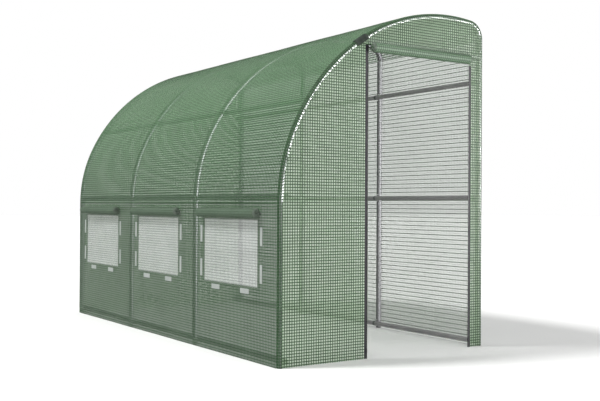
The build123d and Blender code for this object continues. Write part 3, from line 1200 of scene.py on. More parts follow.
@dataclass
class Rails:
    """The straight rails and the straps that hold them to the hoops."""

    rails: dict[str, ZincFinish] = field(
        default_factory=lambda: {
            "front_base_rail": SATIN_ZINC,
            "front_mid_rail": SATIN_ZINC,
            "front_purlin": HIGHLIGHT_PAINTED_ZINC,
            # The purlins take the steel made paler as a painted highlight.
            "ridge_purlin": HIGHLIGHT_PAINTED_ZINC,
            "back_top_rail": RAIL_ZINC,
            "back_mid_rail": RAIL_ZINC,
            "back_base_rail": RAIL_ZINC,
        }
    )
    radius: float = 0.015
    wall: float = 0.0008
    sides: int = 24
    rings: int = 9
    hoop_radius: float = HoopFrame.radius
    hoop_gap: float = 0.0003
    strap_t: float = 0.0016
    strap_w: float = 0.020
    strap_steps: int = 13
    ear: float = 0.012
    ear_round: float = 0.66
    ear_widths: tuple[float, float] = (0.62, 0.96)
    heel: float = 0.002
    gap: float = 0.0004
    fillet: float = 0.003
    across: tuple[float, ...] = (-1.0, -0.86, -0.4, 0.0, 0.4, 0.86, 1.0)
    lifts: tuple[float, ...] = (0.35, 0, 0, 0, 0, 0, 0.35, 0.65, 1, 1, 1, 1, 1, 0.65)
    screw: float = 0.0045
    samples: int = 6000

    def build(self) -> None:
        """Builds the rails and the straps."""
        straps, screws = Shell(), Shell()
        for name, finish in self.rails.items():
            low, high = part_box(name)
            middle = np.array([(low.y + high.y) / 2, (low.z + high.z) / 2])
            x = np.linspace(low.x, high.x, self.rings)
            path = np.column_stack([x, np.full((self.rings, 2), middle)])
            shell = Shell()
            add_pipe(shell, path, self.radius, self.wall, self.sides, ALONG_Z)
            shell.piece(f"{name}_tube", finish, Slot.TUBE, name, sharp_angle=40.0)
            for hoop_x in BAYS.hoops:
                self.add_strap(straps, screws, hoop_x, middle)
        straps.piece(
            "rail_strap_bands", SLEEVE_ZINC, Slot.FITTING, "rail_straps", sharp_angle=35.0
        )
        screws.piece("rail_strap_screws", SCREW_ZINC, Slot.FITTING, sharp_angle=40.0)

    def inward(self, spot: np.ndarray) -> np.ndarray:
        """Finds which way a rail lies from the hoops' centreline.

        Args:
            spot: the rail's middle, (y, z).

        Returns:
            The direction, (y, z).
        """
        run = np.linspace(0.0, OUTLINE.stops[5], self.samples)
        line, out = OUTLINE.at(run, OUTLINE.hoop_inset)
        nearest = int(np.argmin(np.linalg.norm(line - spot, axis=1)))
        return -out[nearest]

    def strap_line(self, depth: float, seat: float) -> np.ndarray:
        """Draws a strap's inner line, from ear to ear over its rail.

        Args:
            depth: how far the rail's middle is from the hoop's.
            seat: how far the ears are from the hoop's middle.

        Returns:
            For each point, how far inward from the hoop's middle and how far aside it is.
        """
        inner = self.radius + self.gap
        foot = [
            (seat, -(inner + self.ear)),
            (seat, -(inner + self.ear * self.ear_round)),
            (seat, -inner - self.heel),
            (seat + self.strap_t, -inner),
        ]
        turns = np.linspace(-pi / 2, pi / 2, self.strap_steps)
        arch = [(depth + inner * cos(turn), inner * sin(turn)) for turn in turns]
        return np.array(foot + arch + [(far, -side) for far, side in reversed(foot)])

    def add_strap(self, straps: Shell, screws: Shell, x: float, rail: np.ndarray) -> None:
        """Adds one strap over a rail, with ears that hug the hoop and a screw through each.

        Args:
            straps: where the band goes.
            screws: where its screws go.
            x: the hoop's place.
            rail: the rail's middle across the tunnel.
        """
        inward = self.inward(rail)
        along = np.array([-inward[1], inward[0]])
        depth = self.hoop_radius + self.hoop_gap + self.radius
        hoop = rail - inward * depth
        inner = self.radius + self.gap
        seat = self.hoop_radius + self.gap
        line = self.strap_line(depth, seat)
        beside = np.clip((np.abs(line[:, 1]) - inner) / self.fillet, 0, 1)
        ear_share = beside * (line[:, 0] < depth)
        heading = np.gradient(line, axis=0)
        heading /= np.linalg.norm(heading, axis=1)[:, None]
        normal = np.stack([heading[:, 1], -heading[:, 0]], axis=1)
        half = self.strap_w / 2
        widths = np.full(len(line), half)
        for place, share in enumerate(self.ear_widths):
            widths[[place, -1 - place]] = half * share
        shares = self.across + self.across[::-1]
        points = np.zeros((len(line), len(shares), 3))
        for column, (share, lift) in enumerate(zip(shares, self.lifts)):
            offset = share * widths
            sink = ear_share * (seat - np.sqrt(seat**2 - offset**2))
            spot = line + normal * (lift * self.strap_t)
            spot = spot - np.stack([sink, np.zeros(len(line))], axis=1)
            points[:, column, 0] = x + offset
            place = hoop[None] + spot[:, :1] * inward[None] + spot[:, 1:] * along[None]
            points[:, column, 1:] = place
        straps.grid(points, wrap=True)
        straps.ring_cap(points[0])
        straps.ring_cap(points[-1][::-1])
        for side in (1, -1):
            reach = side * (inner + self.ear * 0.5)
            place = hoop + inward * (seat + self.strap_t) + along * reach
            add_screw(screws, np.array([x, *place]), np.array([0.0, *inward]), self.screw)


@dataclass
class DoorHeader:
    """The tube over the doorway, the two sockets that carry it and the clamp over one."""

    sides: int = 26
    rings: int = 9
    lip: tuple[tuple[float, float], ...] = (
        (0.006, 0.0),
        (0.001, 0.0004),
        (0.0, 0.0012),
        (0.0, 0.0024),
    )
    shank: float = 0.03
    front_reach: tuple[float, float] = (0.012, 0.096)
    back_reach: tuple[float, float] = (0.012, 0.062)
    screw: float = 0.0042
    screw_places: tuple[float, float] = (0.35, 0.75)
    clamp_length: float = 0.100
    clamp_radius: float = 0.0245
    clamp_rings: int = 15
    clamp_lip: float = 0.0012
    clamp_groove: float = 0.0008
    groove_rings: tuple[int, int] = (4, 10)

    def build(self) -> None:
        """Builds the header, its sockets and the clamp."""
        low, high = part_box("door_header")
        middle_x, middle_z = (low.x + high.x) / 2, (low.z + high.z) / 2
        radius = (high.z - low.z) / 2
        y = np.linspace(low.y + radius, high.y, self.rings)
        shell = Shell()
        path = np.column_stack([np.full(len(y), middle_x), y, np.full(len(y), middle_z)])
        add_tube(shell, path, radius, self.sides)
        # The header takes the steel darkened and dulled as painted shade.
        shell.piece("door_header_tube", SHADE_PAINTED_ZINC, Slot.TUBE, "door_header", sharp_angle=40.0)
        self.build_sockets(middle_x, middle_z)
        self.build_clamp(middle_x, middle_z)

    def build_clamp(self, x: float, z: float) -> None:
        """Builds the clamp round the wrapped arch, over the header's front socket.

        Args:
            x: the arch's place along the tunnel.
            z: the header's height.
        """
        joint = run_at_front(z)
        half = self.clamp_length / 2
        path, _ = on_hoop(x, np.linspace(joint - half, joint + half, self.clamp_rings))
        radii = np.full(len(path), self.clamp_radius)
        radii[[0, -1]] = self.clamp_radius - self.clamp_lip
        radii[list(self.groove_rings)] = self.clamp_radius - self.clamp_groove
        shell = Shell()
        add_tube(shell, path, radii, self.sides)
        shell.piece("header_arch_clamp", CLAMP_PLASTIC, Slot.FITTING, sharp_angle=50.0)

    def build_sockets(self, x: float, z: float) -> None:
        """Builds a socket at each end of the header, with two screws each.

        Args:
            x: the header's place along the tunnel.
            z: the header's height.
        """
        low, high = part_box("header_sockets")
        outer = (high.z - low.z) / 2
        radii = [outer, outer] + [outer - drop for _, drop in self.lip]
        front = float(OUTLINE.front_at(np.array(z), OUTLINE.hoop_inset))
        back = OUTLINE.back_y - OUTLINE.hoop_inset
        sockets, screws = Shell(), Shell()
        for hoop_y, step, reach in ((front, 1.0, self.front_reach), (back, -1.0, self.back_reach)):
            start, end = (hoop_y + step * far for far in reach)
            lip = [end - step * inset for inset, _ in self.lip]
            y = np.array([start, start + step * self.shank, *lip])
            centres = np.column_stack([np.full(len(y), x), y, np.full(len(y), z)])
            add_tube_rings(sockets, centres, radii, np.array([0, step, 0]), self.sides)
            for place in self.screw_places:
                seat_y = start + (end - start) * place
                for side in (-1, 1):
                    seat = np.array([x + side * outer, seat_y, z])
                    add_screw(screws, seat, np.array([side, 0.0, 0.0]), self.screw)
        sockets.piece(
            "header_socket_cups", SLEEVE_ZINC, Slot.TUBE, "header_sockets", sharp_angle=40.0
        )
        screws.piece("header_socket_screws", SCREW_ZINC, Slot.FITTING, sharp_angle=40.0)


# ---- film cover
@dataclass(frozen=True)
class ThreadGrid:
    """A film's threads: courses along it, of which every other may be thinner, and uprights."""

    finish: ThreadFinish
    pitch: float
    width: float
    thin_width: float
    upright_width: float
    rise: float = 0.0004
    course_lift: float = 0.0002
    upright_lift: float = 0.0003

    def places(self, low: float, high: float) -> np.ndarray:
        """Places of the threads between two edges."""
        count = int((high - low) / self.pitch)
        return (low + high - count * self.pitch) / 2 + self.pitch * np.arange(count + 1)

    def courses(self, low: float, high: float) -> list[tuple[float, float]]:
        """Places and widths of the threads that run along the sheet."""
        widths = (self.width, self.thin_width)
        return [(place, widths[number % 2]) for number, place in enumerate(self.places(low, high))]

    def uprights(self, low: float, high: float) -> list[tuple[float, float]]:
        """Places and widths of the threads that run up the sheet."""
        return [(place, self.upright_width) for place in self.places(low, high)]


GREEN_GRID = ThreadGrid(GREEN_THREAD, 0.0163, 0.0050, 0.0050, 0.0050)
END_GRID = ThreadGrid(END_THREAD, 0.0163, 0.0056, 0.0056, 0.0056)
BACK_GRID = ThreadGrid(BACK_THREAD, 0.0146, 0.0056, 0.0012, 0.0026, rise=0.0003)


class Opening(NamedTuple):
    """A window's opening in the cover, along the tunnel and along the outline."""

    low_x: float
    high_x: float
    low_run: float
    high_run: float

    @property
    def area(self) -> float:
        """How much film it takes away."""
        return (self.high_x - self.low_x) * (self.high_run - self.low_run)


@dataclass
class CoverSheet:
    """One sheet of the long cover, with its threads."""

    name: str
    node: str
    start: float
    end: float
    film: FilmFinish
    grid: ThreadGrid
    holes: list[Opening] = field(default_factory=list)
    slot: Slot = Slot.GREEN_FILM
    cell: float = 0.04
    bend_cell: float = 0.03
    course_step: float = 0.06
    upright_step: float = 0.09
    bend_step: float = 0.034

    def build(self) -> None:
        threads = self.build_threads()
        film = self.build_film()
        width, height = BAYS.last_x - BAYS.first_x, self.end - self.start
        width * height - sum(hole.area for hole in self.holes)

    def columns(self) -> np.ndarray:
        """Spreads the film's points along the tunnel, with some on every window's edge.

        Returns:
            Their places.
        """
        edges = (edge for hole in self.holes for edge in (hole.low_x, hole.high_x))
        marks = sorted({BAYS.first_x, BAYS.last_x, *edges})
        found = [marks[0]]
        for low, high in zip(marks, marks[1:]):
            found.extend(evenly(low, high, self.cell)[1:])
        return np.array(found)

    def rows(self) -> np.ndarray:
        """Spreads the film's points along the outline, with some on every window's edge.

        Returns:
            Their distances along the outline.
        """
        edges = (edge for hole in self.holes for edge in (hole.low_run, hole.high_run))
        stops = (stop for stop in OUTLINE.stops if self.start < stop < self.end)
        marks = sorted({self.start, self.end, *edges, *stops})
        found = [marks[0]]
        for low, high in zip(marks, marks[1:]):
            found.extend(OUTLINE.runs(low, high, self.cell, self.bend_cell)[1:])
        return np.array(found)

    def build_film(self) -> bpy.types.Object:
        """Builds the film itself, cut out at its windows.

        Returns:
            The film's piece.
        """
        x, run = self.columns(), self.rows()
        points, _ = on_cover(x[None, :], run[:, None])
        middle_x, middle_run = (x[1:] + x[:-1]) / 2, (run[1:] + run[:-1]) / 2
        keep = np.ones((len(middle_run), len(middle_x)), bool)
        for hole in self.holes:
            inside_x = (middle_x > hole.low_x) & (middle_x < hole.high_x)
            inside_run = (middle_run > hole.low_run) & (middle_run < hole.high_run)
            keep &= ~(inside_run[:, None] & inside_x[None, :])
        shell = Shell()
        shell.grid(points, mask=keep)
        return shell.piece(self.name, self.film, self.slot, self.node)

    def build_threads(self) -> bpy.types.Object:
        """Builds the threads along and around the tunnel, cut at the windows.

        Returns:
            The threads' piece.
        """
        shell, grid = Shell(), self.grid
        for run, width in grid.courses(self.start, self.end):
            cuts = [hole[:2] for hole in self.holes if hole.low_run < run < hole.high_run]
            for low, high in spans(BAYS.first_x, BAYS.last_x, cuts):
                path, out = on_cover(evenly(low, high, self.course_step), run, grid.course_lift)
                add_ribbon(shell, path, out, width, grid.rise)
        for x, width in grid.uprights(BAYS.first_x, BAYS.last_x):
            cuts = [hole[2:] for hole in self.holes if hole.low_x < x < hole.high_x]
            for low, high in spans(self.start, self.end, cuts):
                run = OUTLINE.runs(low, high, self.upright_step, self.bend_step)
                path, out = on_cover(x, run, grid.upright_lift)
                add_ribbon(shell, path, out, width, grid.rise)
        return shell.piece(f"{self.name}_threads", grid.finish, self.slot)


def spans(
    low: float, high: float, cuts: Sequence[tuple[float, float]], shortest: float = 1e-4
) -> list[tuple[float, float]]:
    """What is left of a length once some stretches are cut out.

    Args:
        low: where the length starts.
        high: where it ends.
        cuts: the stretches taken out.
        shortest: what is shorter than this isn't kept.

    Returns:
        The stretches that are left.
    """
    left, start = [], low
    for cut_low, cut_high in sorted(cuts):
        left.append((start, cut_low))
        start = cut_high
    left.append((start, high))
    return [span for span in left if span[1] - span[0] > shortest]


@dataclass
class EndSheet:
    """A flat part of an end panel, below the hoop's curve, with its threads."""

    name: str
    node: str
    x: float
    outward: float
    low_y: float
    high_y: float
    low_z: float
    high_z: float
    cell: float = 0.035
    course_step: float = 0.08
    upright_step: float = 0.09
    near_front: float = 0.05
    crowding: float = 1.35
    slack: float = 0.0016
    ripple: float = 0.0006
    # The end panels take the film made paler with painted light.
    film: FilmFinish = LIT_END_FILM
    grid: ThreadGrid = END_GRID

    def lean(self, y: np.ndarray, z: np.ndarray) -> np.ndarray:
        """Finds how far the panel's surface stands out, which is mostly inwards.

        Args:
            y: places across the tunnel.
            z: heights.

        Returns:
            Offsets along the tunnel, away from its middle.
        """
        belly = np.sin(pi * np.clip((z - self.low_z) / (self.high_z - self.low_z), 0, 1))
        belly = belly * np.sin(pi * np.clip((y - self.low_y) / (self.high_y - self.low_y), 0, 1))
        folds = np.sin(z * 11.0 + y * 3.0) * np.sin(y * 17.0 - z * 2.0)
        return belly * (self.ripple * folds - self.slack)

    def at(self, y: np.ndarray, z: np.ndarray, lift: float = 0.0) -> np.ndarray:
        """Points on the panel.

        Args:
            y: places across the tunnel.
            z: heights.
            lift: how far outside the film the points lie.

        Returns:
            The points.
        """
        y, z = np.broadcast_arrays(np.asarray(y, float), np.asarray(z, float))
        return np.stack([self.x + self.outward * (self.lean(y, z) + lift), y, z], -1)

    def top(self, y: np.ndarray) -> np.ndarray:
        """Height of the panel's upper edge at each y."""
        return np.minimum(OUTLINE.height_at(y, OUTLINE.hoop_inset), self.high_z)

    def build(self) -> None:
        width, height = self.high_y - self.low_y, self.high_z - self.low_z
        share = evenly(0, 1, self.cell / width)
        if self.low_y < OUTLINE.front_y + self.near_front:
            share = share**self.crowding
        y = self.low_y + width * share
        top = self.top(y)
        z = self.low_z + (top[None, :] - self.low_z) * evenly(0, 1, self.cell / height)[:, None]
        shell = Shell()
        shell.grid(self.at(y[None, :], z))
        film = shell.piece(self.name, self.film, Slot.GREEN_FILM, self.node)
        self.build_threads()

    def build_threads(self) -> bpy.types.Object:
        """Builds the panel's threads, up and across.

        Returns:
            The threads' piece.
        """
        shell, grid = Shell(), self.grid
        out = np.array([self.outward, 0.0, 0.0])
        for z, width in grid.courses(self.low_z, self.high_z):
            low = max(self.low_y, float(OUTLINE.front_at(z, OUTLINE.hoop_inset)))
            high = min(self.high_y, float(OUTLINE.back_at(z, OUTLINE.hoop_inset)))
            if high - low >= grid.pitch:
                path = self.at(evenly(low, high, self.course_step), z, grid.course_lift)
                add_ribbon(shell, path, np.broadcast_to(out, path.shape), width, grid.rise)
        for y, width in grid.uprights(self.low_y, self.high_y):
            top = float(self.top(np.array(y)))
            if top - self.low_z >= grid.pitch:
                path = self.at(y, evenly(self.low_z, top, self.upright_step), grid.upright_lift)
                add_ribbon(shell, path, np.broadcast_to(out, path.shape), width, grid.rise)
        return shell.piece(f"{self.name}_threads", grid.finish, Slot.GREEN_FILM)


@dataclass
class CornerWrap:
    """The film where it turns round an end hoop, from the cover to the end panel."""

    name: str
    node: str
    hoop_x: float
    outward: float
    steps: int = 8
    thread_steps: int = 6
    cell: float = 0.04
    bend_cell: float = 0.022
    thread_turns: tuple[float, ...] = (0.02, pi / 6, pi / 3)
    grid: ThreadGrid = GREEN_GRID

    def at(
        self, run: np.ndarray, turn: np.ndarray, lift: float = 0.0
    ) -> tuple[np.ndarray, np.ndarray]:
        """Points on the wrap.

        Args:
            run: distances along the outline.
            turn: angles from the cover's face to the end's.
            lift: how far outside the film the points lie.

        Returns:
            The points and their outward directions.
        """
        run, turn = np.broadcast_arrays(np.asarray(run, float), np.asarray(turn, float))
        spot, out = OUTLINE.at(run, OUTLINE.hoop_inset)
        radius = OUTLINE.hoop_inset + lift
        side, across = self.outward * np.sin(turn), out * np.cos(turn)[..., None]
        outward = np.stack([side, across[..., 0], across[..., 1]], -1)
        middle = np.stack([np.full(run.shape, self.hoop_x), spot[..., 0], spot[..., 1]], -1)
        return middle + outward * radius, outward

    def build(self) -> None:
        length = OUTLINE.stops[5]
        run = OUTLINE.runs(0.0, length, self.cell, self.bend_cell)
        turn = np.linspace(0, pi / 2, self.steps + 1)
        points, _ = self.at(run[:, None], turn[None, :])
        shell = Shell()
        shell.grid(points)
        film = shell.piece(self.name, WRAP_FILM, Slot.GREEN_FILM, self.node)
        threads, grid = Shell(), self.grid
        turn = np.linspace(0, pi / 2, self.thread_steps + 1)
        for place, width in grid.courses(0.0, length):
            path, out = self.at(place, turn, grid.upright_lift)
            add_ribbon(threads, path, out, width, grid.rise)
        for angle in self.thread_turns:
            path, out = self.at(run, angle, grid.course_lift)
            add_ribbon(threads, path, out, grid.width, grid.rise)
        made = threads.piece(f"{self.name}_threads", grid.finish, Slot.GREEN_FILM)


# ---- rolled film
class Lie(Enum):
    """Which way a roll of film lies."""

    ALONG_TUNNEL = "along"
    ACROSS_TUNNEL = "across"


@dataclass
class RolledSheet:
    """A sheet of film, sewn to a face at its top and rolled up below.

    Its turns step in towards the roll's middle at both ends, where folded film closes it.
    """

    name: str
    node: str
    flat_length: float
    pitch: float
    finish: FilmFinish
    lie: Lie
    low: Vector
    high: Vector
    gap: float = 0.0006
    core: float = 0.0015
    loose_share: float = 0.45
    outer_sides: int = 30
    inner_sides: int = 20
    seam_rows: int = 3
    seam_foot: float = 0.004
    columns: int = 44
    wobble: float = 0.0007
    tuck: float = 0.009
    stagger: float = 0.0012
    inset: float = 0.002
    fold_rings: int = 16
    fold_hole: float = 0.02
    crease: float = 0.0012
    creases: int = 3
    crease_fade: int = 6
    bulge_share: float = 0.35
    dimple: float = 0.006
    dimple_share: float = 0.3
    thread_share: float = 0.8
    thread_rise: float = 0.0003

    def spiral(self, radius: float) -> tuple[np.ndarray, np.ndarray]:
        """Middle line of the sheet across the roll.

        Args:
            radius: the roll's radius.

        Returns:
            Distance from the face and height above the roll's middle of each point.
        """
        seam = self.high.z - self.low.z - radius
        out = [self.gap] * self.seam_rows
        up = [seam, seam * 0.5, self.seam_foot]
        done = seam
        turn = swing = 0.0
        reach = radius - self.gap
        while done < self.flat_length:
            loose = reach > radius * self.loose_share
            reach -= (self.pitch if loose else self.pitch / 2) * swing / tau
            if reach < self.core:
                break
            out.append(radius - reach * cos(turn))
            up.append(-reach * sin(turn))
            swing = tau / (self.outer_sides if turn < tau else self.inner_sides)
            turn += swing
            done += reach * swing
        return np.array(out), np.array(up)

    def points(self) -> np.ndarray:
        """Rolls the sheet up, with a little slack in every turn.

        Returns:
            Its points, from the seam to the roll's middle, as rows across the sheet.
        """
        along_tunnel = self.lie is Lie.ALONG_TUNNEL
        start, end = self.ends()
        depth = self.high.y - self.low.y if along_tunnel else self.high.x - self.low.x
        radius = depth / 2
        out, up = self.spiral(radius)
        sewn = slice(self.seam_rows)
        side = np.linspace(start, end, self.columns)
        layer = np.arange(len(out))[:, None] / self.inner_sides
        wave = np.sin(side[None, :] * 23.0 + layer * 1.7) * np.sin(side[None, :] * 7.0 - layer)
        squeeze = 1.0 - (self.wobble / radius) * (1.0 + wave)
        squeeze[sewn] = 1.0
        far = radius + (out[:, None] - radius) * squeeze
        far[sewn] = out[sewn, None]
        height = self.low.z + radius + up[:, None] * squeeze
        tuck = self.tuck * np.clip(1.0 - layer / layer[-1], 0, 1)
        tuck = tuck + self.stagger * (1 + np.sin(layer * 2.4)) + self.inset
        tuck[sewn] = 0.0
        middle = (start + end) / 2
        place = middle + (side[None, :] - middle) * (1.0 - tuck / (end - start) * 2)
        if along_tunnel:
            return np.stack([place, self.high.y - far, height], -1)
        return np.stack([self.low.x + far, place, height], -1)

    def ends(self) -> tuple[float, float]:
        """Where the roll starts and ends, along the way that it lies."""
        axis = 0 if self.lie is Lie.ALONG_TUNNEL else 1
        return self.low[axis], self.high[axis]

    def build(self) -> None:
        points = self.points()
        turn = slice(self.seam_rows, self.seam_rows + self.outer_sides)
        shell = Shell()
        shell.grid(points[self.seam_rows - 1 :])
        film = shell.piece(self.name, self.finish, Slot.ROLLED_FILM, self.node)
        hem = Shell()
        hem.grid(points[: self.seam_rows])
        tail = hem.piece(f"{self.name}_tail", TAIL_FILM, Slot.ROLLED_FILM)
        middles = points[self.seam_rows :, (0, -1)].mean(axis=0)
        folds = self.build_folds(points[turn], middles)
        threads = self.build_threads(points[self.seam_rows - 1 : turn.stop + 3])

    def build_folds(self, turn: np.ndarray, middles: np.ndarray) -> bpy.types.Object:
        """Builds the crumpled film that closes the roll's two ends.

        Args:
            turn: the points of the outer turn.
            middles: the middle of the roll at its two ends.

        Returns:
            The piece of both ends.
        """
        shell = Shell()
        shares = np.linspace(1.0, self.fold_hole, self.fold_rings)
        angles = np.linspace(0, tau, len(turn))
        for column, middle, inner in ((0, middles[0], turn[0, 1]), (-1, middles[1], turn[0, -2])):
            edge = turn[:, column]
            inward = (inner - turn[0, column]) / np.linalg.norm(inner - turn[0, column])
            sunk = np.dot(edge.mean(axis=0) - middle, inward)
            centre = middle + inward * sunk
            creases = np.sin(tau * self.creases * shares[:, None] + angles[None, :])
            bulge = self.tuck * np.sin(np.clip((1 - shares) / self.bulge_share, 0, 1) * pi / 2)
            dimple = self.dimple * np.clip(1 - shares / self.dimple_share, 0, 1)
            depth = self.crease * creases * (1 - shares[:, None] ** self.crease_fade)
            depth = depth + (dimple - bulge)[:, None]
            spread = edge[None] * shares[:, None, None] + centre * (1 - shares[:, None, None])
            shell.grid(spread + depth[..., None] * inward)
        return shell.piece(f"{self.name}_end_folds", FOLD_FILM, Slot.ROLLED_FILM)

    def build_threads(self, outer: np.ndarray) -> bpy.types.Object:
        """Builds the threads on the outer turn of the roll.

        Args:
            outer: the points of the film that shows.

        Returns:
            The threads' piece.
        """
        shell = Shell()
        normal = np.cross(np.gradient(outer, axis=1), np.gradient(outer, axis=0))
        normal /= np.linalg.norm(normal, axis=2)[..., None]
        middle = outer.mean(axis=(0, 1))
        if np.sum((outer - middle) * normal) < 0:
            normal = -normal
        grid, slim = GREEN_GRID, self.thread_share
        run = lengths_along(outer[:, 0])
        for place, width in grid.courses(0.003, run[-1]):
            row = min(int(np.searchsorted(run, place)), len(run) - 1)
            share = (place - run[row - 1]) / max(run[row] - run[row - 1], NEAR)
            path = outer[row - 1] * (1 - share) + outer[row] * share
            path = path + normal[row] * grid.course_lift
            add_ribbon(shell, path, normal[row], width * slim, self.thread_rise)
        side = outer[0, :, 0 if self.lie is Lie.ALONG_TUNNEL else 1]
        for place, width in grid.uprights(float(side[0]), float(side[-1])):
            column = np.interp(place, side, np.arange(len(side)))
            low = min(int(column), len(side) - 2)
            share = column - low
            path = outer[:, low] * (1 - share) + outer[:, low + 1] * share
            out = normal[:, low]
            add_ribbon(shell, path + out * grid.upright_lift, out, width * slim, self.thread_rise)
        return shell.piece(f"{self.name}_threads", ROLL_THREAD, Slot.ROLLED_FILM)


# ---- windows
@dataclass
class Window:
    """One window: its opening, insect net and rolled flap."""

    number: int
    overlap: float = 0.014
    net_gap: float = 0.0006
    columns: int = 13
    net_rows: int = 5
    rib_rows: int = 7
    pitch: float = 0.0016
    thread: float = 0.00062
    weft_gap: float = 0.0002
    least_cover: float = 0.3
    rib: float = 0.0030
    rib_rise: float = 0.0003
    rib_depths: tuple[float, float] = (0.0008, 0.0007)
    seam_offsets: tuple[float, float] = (0.004, 0.010)
    seam_lift: float = 0.0007
    seam_columns: int = 80
    seam_rows: int = 60
    seam: Stitch = Stitch(0.0042, 0.0022, 0.0011)
    flap_length: float = 0.80
    flap_pitch: float = 0.0043

    @cached_property
    def net_box(self) -> tuple[Vector, Vector]:
        """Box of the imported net."""
        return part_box(f"window_{self.number}_net")

    @property
    def opening(self) -> Opening:
        """The opening in the cover, which the net overlaps all round."""
        low, high = self.net_box
        return Opening(
            low.x + self.overlap,
            high.x - self.overlap,
            low.z + self.overlap - OUTLINE.hem_z,
            high.z - self.overlap - OUTLINE.hem_z,
        )

    def build(self) -> None:
        """Builds the net, its stitching and the flap."""
        self.build_net()
        self.build_flap()

    def build_net(self) -> None:
        """Builds the inset net as real threads, sewn behind the opening."""
        low, high = self.net_box
        shell = Shell()
        depth = low.y + self.net_gap - OUTLINE.front_y
        for z in np.arange(low.z, high.z, self.pitch):
            path, out = on_cover(np.linspace(low.x, high.x, self.columns), z - OUTLINE.hem_z)
            add_ribbon(shell, path + np.array([0.0, depth, 0.0]), out, self.thread, 0.0)
        for x in np.arange(low.x, high.x, self.pitch):
            path, out = on_cover(x, np.linspace(low.z, high.z, self.net_rows) - OUTLINE.hem_z)
            path = path + np.array([0.0, depth - self.weft_gap, 0.0])
            add_ribbon(shell, path, out, self.thread, 0.0)
        node = f"window_{self.number}_net"
        net = shell.piece(f"window_{self.number}_insect_net", NET_THREAD, Slot.NET, node)
        pieces = [self.build_seam(), self.build_ribs()]

    def build_ribs(self) -> bpy.types.Object:
        """Builds the thicker threads that stiffen the net, in the film's own grid.

        Returns:
            The ribs' piece.
        """
        shell = Shell()
        low_x, high_x, low_run, high_run = self.opening
        course_lift, upright_lift = (-depth for depth in self.rib_depths)
        x_all = np.linspace(low_x, high_x, self.columns)
        run_all = np.linspace(low_run, high_run, self.rib_rows)
        for run, _ in GREEN_GRID.courses(low_run, high_run):
            add_ribbon(shell, *on_cover(x_all, run, course_lift), self.rib, self.rib_rise)
        for x, _ in GREEN_GRID.uprights(low_x, high_x):
            add_ribbon(shell, *on_cover(x, run_all, upright_lift), self.rib, self.rib_rise)
        return shell.piece(f"window_{self.number}_net_ribs", NET_RIB, Slot.NET)

    def build_seam(self) -> bpy.types.Object:
        """Builds two rows of stitches round the opening.

        Returns:
            The stitches' piece.
        """
        shell = Shell()
        low_x, high_x, low_run, high_run = self.opening
        for offset in self.seam_offsets:
            left, right = low_x - offset, high_x + offset
            bottom, top = low_run - offset, high_run + offset
            for x, run in (
                (np.linspace(left, right, self.seam_columns), bottom),
                (right, np.linspace(bottom, top, self.seam_rows)),
                (np.linspace(right, left, self.seam_columns), top),
                (left, np.linspace(top, bottom, self.seam_rows)),
            ):
                self.seam.sew(shell, *on_cover(x, run, self.seam_lift))
        return shell.piece(f"window_{self.number}_stitches", SEAM_THREAD, Slot.GREEN_FILM)

    def build_flap(self) -> None:
        """Builds the rolled flap over the window."""
        name, node = f"window_{self.number}_rolled_flap", f"window_{self.number}_flap"
        size = self.flap_length, self.flap_pitch
        RolledSheet(name, node, *size, ROLL_FILM, Lie.ALONG_TUNNEL, *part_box(node)).build()


